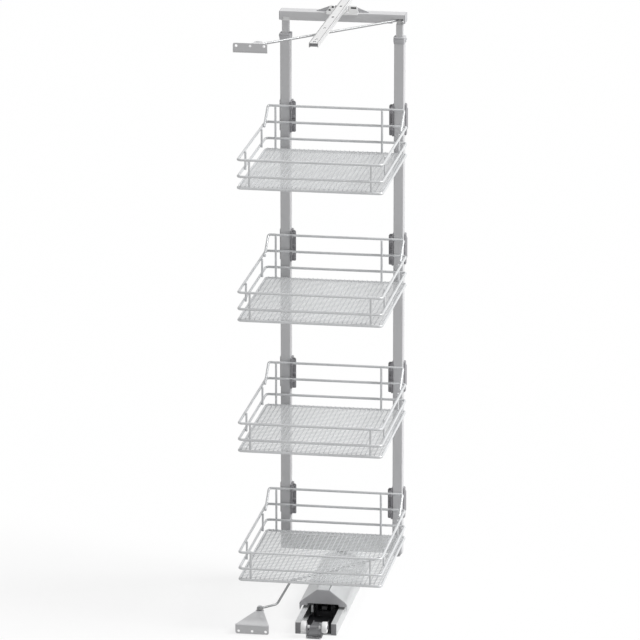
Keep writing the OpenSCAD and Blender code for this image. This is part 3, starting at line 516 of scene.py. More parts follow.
def basket_wires(number, size):
    """Three hoops, the bent back rail with its legs inside the side wires, and the upright struts,
    which stand inside the hoops and end a little past the wires they are welded to."""
    low, high = node_box(f"basket_{number}")
    r, s, weld, over = size.hoop_wire / 2, size.strut_wire / 2, 0.3, 3.0
    low, high = low + r, high - r - (0, ELBOW, ELBOW)
    floor, top = low[2], high[2]
    mid, upper = floor + size.lower_hoop, floor + size.upper_hoop
    hoops = [hoop(low, high, level, r, size.corner) for level in (floor, mid, upper)]

    leg_end, rail_bend = 0.5, 6.0
    reach = size.leg_reach + leg_end
    foot, foot_z = high[1] - reach, top - (top - upper) * reach / size.leg_reach
    left, right = low[0] + 2 * r - weld, high[0] - 2 * r + weld
    corners = [(left, foot, foot_z), (left, high[1], top), (right, high[1], top), (right, foot, foot_z)]
    rail = wire(bent(corners, rail_bend), r, (0, top - foot_z, foot - high[1]))

    inside, middle = r + s - weld, (low[0] + high[0]) / 2
    front_x, back_x, below_rail = (-165.5, 165.5), (-168.0, 129.3), 1.5
    places = [(x, high[1] - y, mid, upper + over) for x in (low[0] + inside, high[0] - inside)
              for y in (size.rear_strut, size.front_strut)]
    places += [(middle + x, low[1] + inside, floor, upper + over) for x in front_x]
    places += [(middle + x, high[1] - inside, floor, top - below_rail) for x in back_x]
    struts = [wire([(x, y, z0 - over), (x, y, z1)], s, (1, 0, 0)) for x, y, z0, z1 in places]
    return merged(*hoops, rail, *struts)


def net_wires(number, size):
    """Floor net as (lengthwise wires, cross wires), welded one on the other, which end over the
    floor hoop's inner side. A wire near a corner ends at its arc, whose inset is the corner radius
    less the root of its square less dx squared."""
    low, high = node_box(f"basket_net_{number}")
    r, corner, back_off, drop = size.net_wire / 2, size.corner, 3.0, 2.0
    middle, half = (low + high) / 2, (high - low) / 2
    level = low[2] + r - drop

    def layer(across, edge, z):
        """Wires spread over the direction across, and lying along the other one."""
        spread = np.linspace(-1, 1, int(2 * half[across] / size.net_pitch)) * (half[across] - edge)
        into = np.clip(np.abs(spread) - (half[across] - corner), 0, corner)
        reach = half[1 - across] - back_off - (corner - np.sqrt(corner ** 2 - into ** 2))
        ends = np.tile([middle[0], middle[1], z], (2, len(spread), 1))
        ends[:, :, across] += spread
        ends[:, :, 1 - across] += [-reach, reach]
        return straight_wires(*ends, r)

    return layer(0, 7.0, level + 1.7 * r), layer(1, 3.6, level)


def screw_head(centre, radius, height, axis="z", way=1):
    """A domed head with a round recess: its top is part of a wide circle, hollow in the middle."""
    rise = [(1.0, 0), (1.0, 0.35), (0.93, 0.7), (0.7, 0.93), (0.42, 1.0), (0.34, 1.0), (0.22, 0.6),
            (0.05, 0.55)]
    return lathe([(share * radius, way * h * height) for share, h in rise], centre, axis)


def clip_shape(box, post, z_rail, z_hoop):
    """A clip on the right upright: two cheeks, an inner flange with ribs, the block behind the tube
    with its ribs, and two hooks under the back wires."""
    (low, high), (post_low, post_high) = box, post
    wall, gap, flange_w = 4.0, 0.3, 14.0
    front, bottom, top = post_low[1], low[2], high[2]
    inner, outer, back = post_low[0] - gap, post_high[0] + gap, post_high[1] + gap
    rim, flange_y = inner - flange_w, front + 10
    block_low, block_high = bottom + 10, z_rail - 5
    parts = [
        block((inner - wall, front - 2, bottom), (inner, back + wall, top), "x", 2.0, 0.6),
        block((outer, front + 17, bottom), (outer + wall, back + wall, top), "x", 3.0, 0.8),
        block((inner - wall, back, bottom), (outer + wall, back + wall, top), "y", 2.0, 0.6),
        block((inner - wall, back + wall / 2, block_low), (outer + wall, high[1], block_high), "y",
              4.0, 1.5),
        plate(rectangle((bottom, rim), (top, inner), [3, 6, 0.5, 0.5]), (flange_y, flange_y + wall), "y",
              bevel=0.7),
    ]
    for z, rise in ((top - 17, 12.0), (bottom + 40, 7.0), (bottom + 4, 16.0)):
        parts.append(block((rim + 1.5, flange_y - 3.5, z), (inner - wall + 1, flange_y + 1, z + rise),
                           "y", 2.5, 1.2))
    w = 3.8     # half the opening that takes a wire
    hook = [(front, -5), (-w - 2, -5), (-w - 4, -3), (-w - 4, 5), (-w, 5), (-w, 0), (w, 0),
            (w, 2 * w + 3), (front, 2 * w + 3)]
    for z in (z_rail, z_hoop):
        outline = rounded(np.array(hook) + (0, z - w), [0.5, 2, 1.5, 1.5, 1.5, 2.5, 2.5, 1, 0.5], 4)
        parts.append(plate(outline, (inner - 8, inner), "x", bevel=0.6))
    rib_pitch, half_rib = 18.2, 1.2
    for step in (-1, 0, 1):
        z = (block_low + block_high) / 2 + step * rib_pitch
        parts.append(block((post_low[0] + 1, high[1] - 1.5, z - half_rib),
                           (post_high[0] - 1, high[1], z + half_rib), "y", 0.6, 0.3))
    return merged(*parts)


class LARDER_OT_baskets(bpy.types.Operator):
    """Four wire baskets: hoops, back rail, struts and the welded floor net"""
    bl_idname = "larder.baskets"
    bl_label = "Wire baskets"

    def execute(self, context):
        size = context.scene.larder_baskets
        for i in BASKETS:
            body = f"basket_{i}"
            lengthwise, cross = net_wires(i, size)
            add_piece(f"basket_wires_{i}", basket_wires(i, size), body, "wire", [f"basket_{i}"])
            add_piece(f"basket_floor_{i}", cross, body, "net", [f"basket_net_{i}"])
            # painted shade: the lengthwise net wires take the darker drawn steel; they are the same plating
            # as the cross wires
            add_piece(f"basket_floor_rods_painted_shade_{i}", lengthwise, body, "steel")
        return {"FINISHED"}


class LARDER_OT_clips(bpy.types.Operator):
    """Moulded clips that hook the baskets to the uprights, and their clamp screws"""
    bl_idname = "larder.clips"
    bl_label = "Basket clips"

    def execute(self, context):
        size = context.scene.larder_baskets
        post_x = node_middle("right_upright")[0]
        for i in BASKETS:
            box, (wires_low, wires_high) = node_box(f"basket_clips_{i}"), node_box(f"basket_{i}")
            z_rail = wires_high[2] - size.hoop_wire / 2 - ELBOW
            z_hoop = wires_low[2] + size.hoop_wire / 2 + size.upper_hoop
            clip = clip_shape(box, node_box("right_upright"), z_rail, z_hoop)
            add_piece(f"clips_{i}", both_sides(clip), f"clips_{i}", "clip", [f"basket_clips_{i}"])
            low, high = node_box(f"clamp_screws_{i}")
            back = box[1][1]
            head = screw_head((post_x, back, (low[2] + high[2]) / 2), (high[2] - low[2]) / 2,
                              high[1] - back, "y")
            add_piece(f"clip_screw_heads_{i}", both_sides(head), f"clips_{i}", "steel",
                      [f"clamp_screws_{i}"])
        return {"FINISHED"}


# ---------------------------------------------------------------- uprights and beams

def collar_shape():
    """Right collar: a rounded sleeve with a lip at its top and foot and a boss for its screw."""
    low, high = node_box("right_collar")
    post_low, post_high = node_box("right_inner_post")
    bore = rectangle(post_low[:2], post_high[:2], 0.4)
    side, y, foot, top = high[0], (low[1] + high[1]) / 2, low[2], high[2]

    def ring(grow, z0, z1, bevel):
        """A stretch of the sleeve, larger by grow all round."""
        return plate(rectangle(low[:2] - grow, high[:2] + grow, 4.5), (z0, z1), "z", [bore], bevel)

    return merged(ring(-0.8, foot, foot + 4, 0.4), ring(0, foot + 3.6, top - 4.4, 0.9),
                  ring(-1.0, top - 4.8, top - 3.2, 0.3), ring(0.1, top - 3.6, top, 0.9),
                  block((side - 1, y - 6, top - 15), (side + 1.2, y + 6, top - 1.5), "x", 3.0, 0.8))


def collar_knobs():
    """The round heads of both collars' screws, with a recess in the middle."""
    side, (y, z) = node_box("right_collar")[1][0], node_middle("collar_screws")[1:]
    profile = [(4.6, 1.0), (4.9, 1.6), (4.9, 2.2), (4.3, 2.6), (2.4, 2.6), (2.0, 1.9), (0.3, 1.9)]
    return both_sides(lathe(profile, (side, y, z), "x"))


def plug_shapes():
    """Plugs of both posts with the studs that hold the beam, and the head block on the left one."""
    x, y = node_middle("right_inner_post")[:2]
    z = node_box("right_inner_post")[1][2]
    rise = node_box("post_plugs")[1][2] - z
    profile = [(0.4, -16), (6.8, -16), (7.3, -15), (7.3, 0), (8.6, 0), (9.0, 0.5), (9.0, 2.5), (8.5, 3.0),
               (6.0, 3.0), (6.0, rise - 0.6), (5.4, rise), (0.4, rise)]
    head = block((-x - 12, y - 12, z), (-x + 12, y + 12, z + 11.5), "z", 2.0, 0.8)
    return merged(both_sides(lathe(profile, (x, y, z), "z", 28)), head)


class LARDER_OT_uprights(bpy.types.Operator):
    """Upright tubes, telescopic posts, collars with their screws, and plugs"""
    bl_idname = "larder.uprights"
    bl_label = "Uprights"

    def execute(self, context):
        repaint("coat", "left_upright", "right_upright", "left_inner_post", "right_inner_post")
        repaint("grey", "foot_plugs")
        add_piece("plugs", plug_shapes(), "frame", "white", ["post_plugs"])
        right = collar_shape()
        add_piece("collar_right", right, "frame", "grey", ["right_collar"])
        add_piece("collar_left", mirrored(right), "frame", "grey", ["left_collar"])
        add_piece("collar_knobs", collar_knobs(), "frame", "steel", ["collar_screws"])
        return {"FINISHED"}


def top_beam_shape(notches):
    """A channel open downwards, in stretches along X: the front wall of a notch's stretch is shorter
    by the notch's height. A notch is (first X, last X, height)."""
    low, high = node_box("top_beam")
    (y0, z0), (y1, z1), wall = low[1:], high[1:], 2.0

    def stretch(x0, x1, cut):
        """A length of the channel whose front wall starts higher by the cut."""
        line = [(y0, z0 + cut), (y0 + wall, z0 + cut), (y0 + wall, z1 - wall), (y1 - wall, z1 - wall),
                (y1 - wall, z0), (y1, z0), (y1, z1), (y0, z1)]
        section = rounded(line, [0.4, 0.4, 1.0, 1.0, 0.4, 0.4, 1.2, 1.2])
        return plate(section, (x0, x1), "x", bevel=0.02)

    parts, start = [], low[0]
    for first, last, height in notches:
        parts += [stretch(start, first, 0.0), stretch(first, last, height)]
        start = last
    return merged(*parts, stretch(start, high[0], 0.0))


def beam_caps():
    """End caps of the top beam: a rounded end outside and a plug inside the channel."""
    low, high = node_box("beam_end_caps")
    beam_end, inside = node_box("top_beam")[1][0], 2.1
    cap = block((beam_end, low[1], low[2]), high, "x", 3.0, 0.7)
    plug = block((beam_end - 3, low[1] + inside, low[2] + 13), (beam_end + 0.5, *(high[1:] - inside)),
                 "x", 1.5, 0.2)
    return both_sides(merged(cap, plug))


def beam_screw_heads():
    """Heads of the two screws in the cover plate."""
    low, high = node_box("beam_plate_screws")
    z, radius = (low[2] + high[2]) / 2, (high[2] - low[2]) / 2
    front = node_box("beam_plate")[0][1]
    return merged(*[screw_head((x, front, z), radius, front - low[1], "y", -1)
                    for x in (low[0] + radius, high[0] - radius)])


class LARDER_OT_beams(bpy.types.Operator):
    """Top beam with its end caps, cross beam, cover plate and screws"""
    bl_idname = "larder.beams"
    bl_label = "Beams"

    def execute(self, context):
        post_x = node_middle("right_upright")[0]
        notches = [(-post_x - 6.5, -post_x + 13.0, 9.5), (post_x - 18.5, post_x + 12.0, 13.0)]
        add_piece("beam_top", top_beam_shape(notches), "frame", "coat", ["top_beam"])
        add_piece("beam_caps", beam_caps(), "frame", "grey", ["beam_end_caps"])
        add_piece("beam_cross", block(*node_box("cross_beam"), "x", 2.5, 0.05), "frame", "coat",
                  ["cross_beam"])
        add_piece("beam_cover_plate", block(*node_box("beam_plate"), "y", 1.2, 0.5), "frame", "coat",
                  ["beam_plate"])
        add_piece("beam_screw_heads", beam_screw_heads(), "frame", "steel", ["beam_plate_screws"])
        return {"FINISHED"}


# ---------------------------------------------------------------- top guide

def guide_slots(grow=0.0):
    """Outlines of the stop screw's slot and the fixing slots, 5.5 by 12 mm and larger by grow all round."""
    low, high = node_box("top_guide_rail")
    u, v = 2.75 + grow, 6.0 + grow
    rows = [low[1] + 17, *np.arange(low[1] + 46, high[1] - 20, 140.0)]
    return [rectangle((-u, y - v), (u, y + v), u * 0.96) for y in rows]


def guide_shape():
    """Guide rail: a roof plate with openings for the slots, and walls whose lips turn inwards."""
    low, high = node_box("top_guide_rail")
    w, inner, under, bend = high[0], high[0] - GUIDE_SHEET, high[2] - GUIDE_SHEET, 1.4
    roof = plate(rectangle((low[0] + bend, low[1]), (w - bend, high[1]), 0.4), (under, high[2]), "z",
                 guide_slots(SLOT_SHADE_RIM), 0.15)
    wall = [(low[2], inner - 1.6), (low[2] + 0.9, inner - 1.6), (low[2] + 1.3, inner), (under, inner),
            (under, inner - 1.2), (high[2], inner - 1.2), (high[2], w), (low[2], w)]
    section = rounded(wall, [0.3, 0.4, 0.8, 0.3, 0.1, 0.1, 1.3, 1.0])
    return merged(roof, both_sides(plate(section, (low[1], high[1]), "y", bevel=0.2)))


def slot_shade_rims():
    """Dark rims that line the guide's slots and leave them open: painted shade of the slots' walls."""
    top = node_box("top_guide_rail")[1][2]
    return merged(*[plate(outer, (top - GUIDE_SHEET, top), "z", [inner], 0.1)
                    for outer, inner in zip(guide_slots(SLOT_SHADE_RIM), guide_slots())])


def dimple_shade_marks():
    """Shallow rolled dimples in an even row along the guide's right and left walls, dark: painted shade in
    the dimples.
    """
    low, high = node_box("top_guide_rail")
    pitch, depth, z = 17.0, 0.1, high[2] - 4.2
    rows = np.arange(low[1] + 24, high[1] - 12, pitch)
    profile = [(1.5, 0.0), (1.2, 0.22), (0.2, 0.25)]
    return both_sides(merged(*[lathe(profile, (high[0] - depth, y, z), "x", 10) for y in rows]))


def guide_stops():
    """Stops in both ends of the guide, and the front one's lip across the opening."""
    low, high = node_box("guide_end_stops")
    depth, face = 5.0, 1.6
    stops = [block((low[0], y, low[2] + 3.2), (high[0], y + depth - face, high[2]), "y", 1.2, 0.5)
             for y in (low[1] + face, high[1] - depth + face)]
    lip = block((low[0] - 0.6, low[1], low[2] + 2.8), (high[0] + 0.6, low[1] + face + 0.4, low[2] + 8.2),
                "y", 1.0, 0.3)
    return merged(*stops, lip)


def hanger_shape():
    """Hanger plate: an upright sheet with sloping ends, a wide notch in its top and two holes."""
    low, high = node_box("hanger_plate")
    slot, step, head = 15.0, low[2] + 3.0, 31.0
    half = [(low[2], high[0]), (high[2], head), (high[2], slot), (step, slot)]
    outline = half + [(z, -x) for z, x in half[::-1]]
    holes = [circle(2.6, (low[2] + 8.5, x), 16) for x in (-36, 36)]
    return plate(rounded(outline, [1, 3, 1.5, 1, 1, 1.5, 3, 1]), (low[1], high[1]), "y", holes, 0.4)


def saddle_slots(grow=0.0):
    """Outlines of the slots in the saddle's front, larger by grow all round."""
    top, beam_top, height = node_box("hanger_saddle")[1][2], node_box("top_beam")[1][2], 4.5 + grow
    slots = [(top - 8, 25, 40), (top - 7, -28, -22), (beam_top + 5.5, -37, -31)]
    return [rectangle((z - grow, x0 - grow), (z + height, x1 + grow), 1.2) for z, x0, x1 in slots]


def saddle_shape():
    """Saddle: a front sheet with two lugs and its slots, and a base before and behind the hanger."""
    low, high = node_box("hanger_saddle")
    beam_low, beam_high = node_box("top_beam")
    hanger_low, hanger_high = node_box("hanger_plate")
    top, base_z = high[2], beam_high[2] + beam_low[1] - low[1]
    lug = high[0] - 26
    front = [(low[2], low[0]), (low[2], high[0]), (top, high[0]), (top, lug), (base_z, lug),
             (base_z, -lug), (top, -lug), (top, low[0] + 13), (beam_high[2] + 6, low[0] + 5)]
    outline = rounded(front, [3, 3, 2.5, 2, 1.5, 1.5, 2, 3, 5])
    before = rectangle((low[0], beam_low[1] - 0.5), (high[0], hanger_low[1]), 1.0)
    behind = rectangle((low[0], hanger_high[1]), (high[0], beam_high[1]), 3.0)
    return merged(plate(outline, (low[1], beam_low[1]), "y", saddle_slots(), 0.5),
                  *[plate(base, (beam_high[2], base_z), "z", bevel=0.4) for base in (before, behind)])


def saddle_bolts():
    """Four bolt heads on the saddle's base."""
    z = node_box("top_beam")[1][2] + node_box("top_beam")[0][1] - node_box("hanger_saddle")[0][1]
    return merged(*[screw_head((x, y, z), 4.2, 2.2) for x in (-33, 33) for y in (14.5, 36)])


def saddle_slot_backs():
    """Dark plates behind the saddle's slots, which show their shade."""
    front = node_box("top_beam")[0][1]
    return merged(*[plate(loop, (front + 0.1, front + 0.9), "y", bevel=0.1) for loop in saddle_slots(0.6)])


class LARDER_OT_guide(bpy.types.Operator):
    """Top guide: rail, end stops, ball cage, runner, saddle and hanger plate"""
    bl_idname = "larder.guide"
    bl_label = "Top guide"

    def execute(self, context):
        add_piece("guide_rail", guide_shape(), "fixed", "guide", ["top_guide_rail"])
        # painted shade: small dark discs for the shade in the guide walls' dimples
        add_piece("guide_dimples_painted_shade", dimple_shade_marks(), "fixed", "dark")
        # painted shade: dark rims round the guide's slots
        add_piece("guide_slot_shade_rims", slot_shade_rims(), "fixed", "dark")
        add_piece("guide_stops", guide_stops(), "fixed", "dark", ["guide_end_stops"])
        # painted shade: the ball cage takes the black finish, so the guide's slots look dark through
        repaint("black", "ball_cage")
        repaint("steel", "guide_balls")
        repaint("zinc", "guide_runner")
        add_piece("hanger", hanger_shape(), "frame", "grey", ["hanger_plate"])
        add_piece("saddle", saddle_shape(), "frame", "guide", ["hanger_saddle"])
        add_piece("saddle_bolts", saddle_bolts(), "frame", "steel")
        add_piece("saddle_slot_backs", saddle_slot_backs(), "frame", "black")
        return {"FINISHED"}


# ---------------------------------------------------------------- door link

def eye_ring(centre, bore):
    """A rounded ring round a vertical pin: a closed profile, its lower half the upper one mirrored,
    turned about Z."""
    h, r, chamfer = ARM_ROD, ARM_EYE, 0.4
    upper = [(bore, h - chamfer), (bore + chamfer, h), (r - 1.0, h), (r - 0.3, h - 0.3), (r, h - 1.0)]
    return lathe(upper + [(radius, -z) for radius, z in upper[::-1]], centre, "z", 32, ring=True)


def arm_shape(pin, door, pin_bore, bends=()):
    """An arm: one rod bent along its route between two eyes, ending inside their rings' walls."""
    way = (pin - door) * (1, 1, 0)
    way /= np.linalg.norm(way)
    start, bend_r = way * (ARM_EYE - 1.5), 16.0
    route = [door + start, *bends, pin - start]
    path = bent(route, bend_r, 9) if bends else np.linspace(*route, 12)
    rod = wire(path, ARM_ROD, np.cross(way, (0, 0, 1)), 18)
    return merged(rod, eye_ring(door, PIN_BORE), eye_ring(pin, pin_bore))


def bracket_shape(node, pivot, flange_down):
    """A door bracket: a triangular plate that ends in an arc round its pivot, a flange with three
    holes, and the bend between them, whose section is two quarter arcs about one centre."""
    low, high = node_box(node)
    sheet, inner_r, tip, edge, pitch = 3.0, 1.0, 11.0, 7.5, 37.5
    way, outer_z, free = (-1, high[2], low[2]) if flange_down else (1, low[2], high[2])
    half, face_y, bend_r = (high[0] - low[0]) / 2, low[1], inner_r + sheet
    start, near = face_y + bend_r, outer_z + way * bend_r
    x0, x1, reach = pivot[0] - half, pivot[0] + half, pivot[1] - face_y

    lean = math.atan2(half, reach)
    cut = half - (bend_r / reach) * (half - tip * math.cos(lean))
    apex = [(pivot[0] + tip * math.cos(a), pivot[1] + tip * math.sin(a))
            for a in np.linspace(-lean, math.pi + lean, 17)]
    plan = np.array([(pivot[0] - cut, start), (pivot[0] + cut, start), *apex])
    level = sorted((outer_z, outer_z + way * sheet))
    top = plate(plan, level, "z", [circle(4.0, pivot)], 0.3)

    holes = [circle(3.75, (free - way * edge, pivot[0] + k * pitch), 20) for k in (-1, 0, 1)]
    face = rounded([(near, x0), (near, x1), (free, x1), (free, x0)], [0.1, 0.1, 5, 5])
    flange = plate(face, (face_y, face_y + sheet), "y", holes, 0.35)
    turn = np.linspace(0, math.pi / 2, 8)
    section = [(start - r * math.cos(t), near - way * r * math.sin(t))
               for r, angles in ((bend_r, turn), (inner_r, turn[::-1])) for t in angles]
    return merged(top, flange, plate(np.array(section), (x0, x1), "x", bevel=0.3))


def rivet_shape(node, pivot, way):
    """A rivet in a bracket's pivot: a head, a shank and a turned-over end, with its heights counted
    from the head, up or down."""
    low, high = node_box(node)
    start, end = (low if way > 0 else high)[2], high[2] - low[2]
    profile = [(5.4, 0), (6.9, 0.6), (7.0, 2.4), (6.6, 3.0), (4.0, 3.0), (4.0, end - 1), (5.9, end - 1),
               (5.9, end - 0.5), (5.2, end - 0.1), (2.0, end), (0.4, end - 0.3)]
    return lathe([(radius, way * height) for radius, height in profile], (*pivot, start), "z", 28)


class LARDER_OT_door_link(bpy.types.Operator):
    """Upper and lower link arms, door brackets and their pins"""
    bl_idname = "larder.door_link"
    bl_label = "Door link"

    def execute(self, context):
        up, level = np.array([0.0, 0.0, 1.0]), np.array([1.0, 1.0, 0.0])
        pin, door = node_middle("bottom_arm_pin") * level, node_middle("top_door_pin") * level
        way = (pin - door) / np.linalg.norm(pin - door)
        z, post_bore = node_middle("top_arm")[2] * up, 6.05
        add_piece("arm_top", arm_shape(pin + z, door + z, post_bore), "top_arm", "rod", ["top_arm"])
        low, high = node_box("bottom_arm")
        z_low, z_high = (low[2] + ARM_ROD) * up, (high[2] - ARM_ROD) * up
        bends = [door + way * 60 + z_low, door + way * 110 + z_high]
        bottom = arm_shape(pin + z_high, door + z_low, PIN_BORE, bends)
        add_piece("arm_bottom", bottom, "bottom_arm", "rod", ["bottom_arm"])
        pivot = door[:2]
        for place, flange_down in (("top", False), ("bottom", True)):
            bracket = f"{place}_door_bracket"
            add_piece(f"bracket_{place}", bracket_shape(bracket, pivot, flange_down), f"{place}_bracket",
                      "coat", [bracket])
        for place, rise in (("top", 1), ("bottom", -1)):
            rivet = f"{place}_door_pin"
            add_piece(f"rivet_{rivet}", rivet_shape(rivet, pivot, rise), f"{place}_bracket", "steel",
                      [rivet])
        repaint("steel", "bottom_arm_pin")
        return {"FINISHED"}


# ---------------------------------------------------------------- floor rail

def rail_plugs():
    """Plugs with a raised face in the front of the rail's two channels, and the stop at its back."""
    low, high = node_box("rail_end_stops")
    rail_low, rail_high = node_box("floor_rail")
    front, channel, length = rail_low[1], rail_high[0] - 15.0, 8.0
    plug = block((channel, front - 0.6, low[2] - 1.2), (high[0] + 1.2, front + length, high[2] + 1.0),
                 "y", 1.6, 0.6)
    rib = block((channel + 3, front - 1.0, low[2] + 6), (high[0] - 3, front + 1, high[2] - 6), "y", 3.0, 0.4)
    rear = block((low[0], high[1] - 4, low[2]), high, "y", 1.0, 0.4)
    return merged(both_sides(merged(plug, rib)), rear)


def tongue_shape(axle):
    """Tongue: a floor sheet with two slots and two holes, an ear round each end of the axle, and a
    low wall along each side."""
    low, high = node_box("rail_tongue")
    w, floor = high[0], low[2] + TONGUE_SHEET
    windows = [slot_outline(16, 5, (3, low[1] + 11)), slot_outline(15, 4.5, (9, high[1] - 30)),
               *[circle(2.5, (0, high[1] - y)) for y in TONGUE_HOLES]]
    sheet = plate(rectangle(low[:2] * (0, 1) - (w, 0), high[:2], [5, 5, 2, 2]), (low[2], floor), "z",
                  windows, 0.4)
    ear = rounded([(axle[1] - 9, low[2]), (axle[1] + 9, low[2]), (axle[1] + 8, high[2] - 0.4),
                   (axle[1] - 8, high[2] - 0.4)], [0.5, 0.5, 7.5, 7.5])
    side = merged(plate(ear, (w - TONGUE_SHEET, w), "x", [circle(4.0, axle[1:])], 0.4),
                  block((w - TONGUE_SHEET * 0.9, low[1] + 30, floor), (w, high[1], floor + 5), "y", 0.8, 0.4))
    return merged(sheet, both_sides(side))


def tongue_edge_highlight():
    """A pale strip across the tongue's front: painted highlight on the sheet's front edge."""
    low, high = node_box("rail_tongue")
    w = high[0] - 1.5
    return block((-w, low[1], 0.3), (w, low[1] + 1.4, low[2] + TONGUE_SHEET * 0.8), "y", 1.0, 0.3)


def tongue_screws():
    """Heads of the two screws that hold the tongue."""
    (low, high), (screw_low, screw_high) = node_box("rail_tongue"), node_box("rail_screws")
    top, radius = low[2] + TONGUE_SHEET, (screw_high[0] - screw_low[0]) / 2
    return merged(*[screw_head((0, high[1] - y, top), radius, screw_high[2] - top) for y in TONGUE_HOLES])


def roller_shape(node, width):
    """A roller about X at the right end of its node: a slightly crowned tread, dished sides and a
    raised hub round its bore. Its second side is the first one mirrored."""
    low, high = node_box(node)
    r, hub = (high[2] - low[2]) / 2, PIN_BORE
    side = [(hub, 0.0), (hub + 2.6, 0.0), (hub + 3.0, 0.9), (r - 3.0, 0.9), (r - 2.6, 0.0), (r - 1.4, 0.0),
            (r - 0.5, 0.5), (r - 0.05, 1.6), (r, width / 2)]
    profile = side + [(radius, width - depth) for radius, depth in side[-2::-1]]
    return lathe(profile, (high[0] - width, *node_middle(node)[1:]), "x", 40, ring=True)


def catch_shape():
    """Catch housing: its base, a tower on each side, the rear wall, two cheeks in front, the sloping
    slide in the middle and the thin strip that runs forwards from it on the rail."""
    low, high = node_box("catch_housing")
    (w, front, back), (z0, z1) = (high[0], low[1], high[1]), (low[2], high[2])
    shelf, strip_front = z0 + 14, node_box("floor_rail")[0][1] + 8
    walls = [((-w, front + 12, z0), (w, back, z0 + 16), 3, 0.8),
             ((-w, front + 18, shelf), (-w + 14, back, z1 - 3), 3, 1.2),
             ((w - 16, front + 8, shelf), (w, back, z1 - 8), 3, 1.2),
             ((-w + 12, back - 26, shelf), (w - 14, back, z1), 2, 1.0),
             ((-w, front, z0), (-w + 7, front + 30, z1 - 12), 2, 0.8),
             ((w - 9, front, z0), (w, front + 16, z0 + 24), 2, 0.8)]
    strip = block((-41.5, strip_front, z0 + 0.05), (41.5, front + 13, z0 + 1.6), "z", 2, 0.3)
    slide = rounded([(front + 6, z0 + 18), (front + 40, z0 + 18), (front + 52, z1 - 6), (front + 22, z1 - 2),
                     (front + 10, z0 + 30)], 3)
    return merged(*[block(a, b, "z", corner, bevel) for a, b, corner, bevel in walls],
                  plate(slide, (-8, 8), "x", bevel=1.0), strip)


def catch_post():
    """The post beside the catch, with a domed pin on its top."""
    low, high = node_box("catch_housing")
    x, front, top = -high[0], low[1], high[2]
    return merged(block((x - 2, front - 5.5, low[2] + 16), (x + 4, front + 0.5, top - 6), "z", 1.2, 0.5),
                  lathe([(3.0, 0), (3.0, 3), (2.2, 4), (0.4, 4.2)], (x + 1, front - 2.5, top - 7), "z", 20))


def catch_spring():
    """Spring in the catch: a helix along Y, at radius times the cosine and sine of its turns."""
    front, floor = node_box("catch_housing")[0][1:]
    turns, length, radius, t = 11, 42.0, 3.4, np.linspace(0, 1, 160)
    angle = 2 * np.pi * turns * t
    coil = np.column_stack([radius * np.cos(angle) - 1.0, front + 14 + length * t,
                            floor + 22 + radius * np.sin(angle)])
    return wire(coil, 0.7, (0, 1, 0.001), 8)


class LARDER_OT_floor_rail(bpy.types.Operator):
    """Floor rail, tongue, rollers, catch housing and their small parts"""
    bl_idname = "larder.floor_rail"
    bl_label = "Floor rail"

    def execute(self, context):
        axle = node_middle("front_axle")
        repaint("zinc", "floor_rail")
        add_piece("rail_plugs", rail_plugs(), "fixed", "dark", ["rail_end_stops"])
        add_piece("tongue", tongue_shape(axle), "fixed", "dark", ["rail_tongue"])
        # painted highlight: a zinc strip for the light on the tongue's front edge
        add_piece("tongue_edge_highlight", tongue_edge_highlight(), "fixed", "zinc")
        add_piece("tongue_screws", tongue_screws(), "fixed", "steel", ["rail_screws"])
        for name, node, width in (("rollers_front", "front_rollers", 14.0),
                                  ("wheels_mid_rollers", "mid_rollers", 10.0),
                                  ("wheels_rear_rollers", "rear_rollers", 10.0)):
            add_piece(name, both_sides(roller_shape(node, width)), node, "white", [node])
        # painted shade: the front axle takes the dark finish, for the shade between the rollers under the
        # housing
        repaint("dark", "front_axle")
        repaint("steel", "damper", "carriage_axles")
        collar = lathe([(4.1, 12.5), (4.6, 12.8), (4.6, 18.4), (4.1, 18.7)], (0, *axle[1:]), "x", 20)
        add_piece("axle_collars", both_sides(collar), "fixed", "zinc")
        add_piece("catch", catch_shape(), "fixed", "black", ["catch_housing"])
        add_piece("catch_post", catch_post(), "fixed", "zinc")
        add_piece("catch_spring", catch_spring(), "fixed", "steel")
        return {"FINISHED"}


# ---------------------------------------------------------------- carriage

def cover_section(low, high, sheet):
    """Section of the cover as a closed line: over the outside and back along the inside."""
    w, foot, top, shoulder, flat = high[0], low[2], high[2], COVER_SHOULDER, COVER_FLAT / 2
    outside = [(w, foot), (w, shoulder - 7), (w - 5, shoulder), (flat, top)]
    inside = [(w - sheet, foot), (w - sheet, shoulder - 7), (w - 5 - sheet * 0.7, shoulder - sheet * 0.6),
              (flat - sheet / 3, top - sheet)]
    out_r, in_r = [0.3, 5, 4, 6], [0.3, 4, 3, 5]
    line = outside + other_half(outside) + other_half(inside)[::-1] + inside[::-1]
    return rounded(line, out_r + out_r[::-1] + in_r + in_r[::-1])


def cap_shape():
    """Front cap of the cover: a plate of the cover's outline with feet and an opening between them."""
    low, high = node_box("cover_cap")
    inner_x, bridge_z = 43.0, 47.0
    right = [(inner_x, bridge_z), (inner_x, low[2]), (high[0], low[2]), (high[0], COVER_SHOULDER - 6),
             (high[0] - 5, COVER_SHOULDER), (COVER_FLAT / 2, high[2])]
    radii = [2, 2, 4, 5, 4, 7]
    face = rounded(right + other_half(right), radii + radii[::-1], 6)
    return plate(face[:, ::-1], (low[1], high[1]), "y", bevel=1.2)


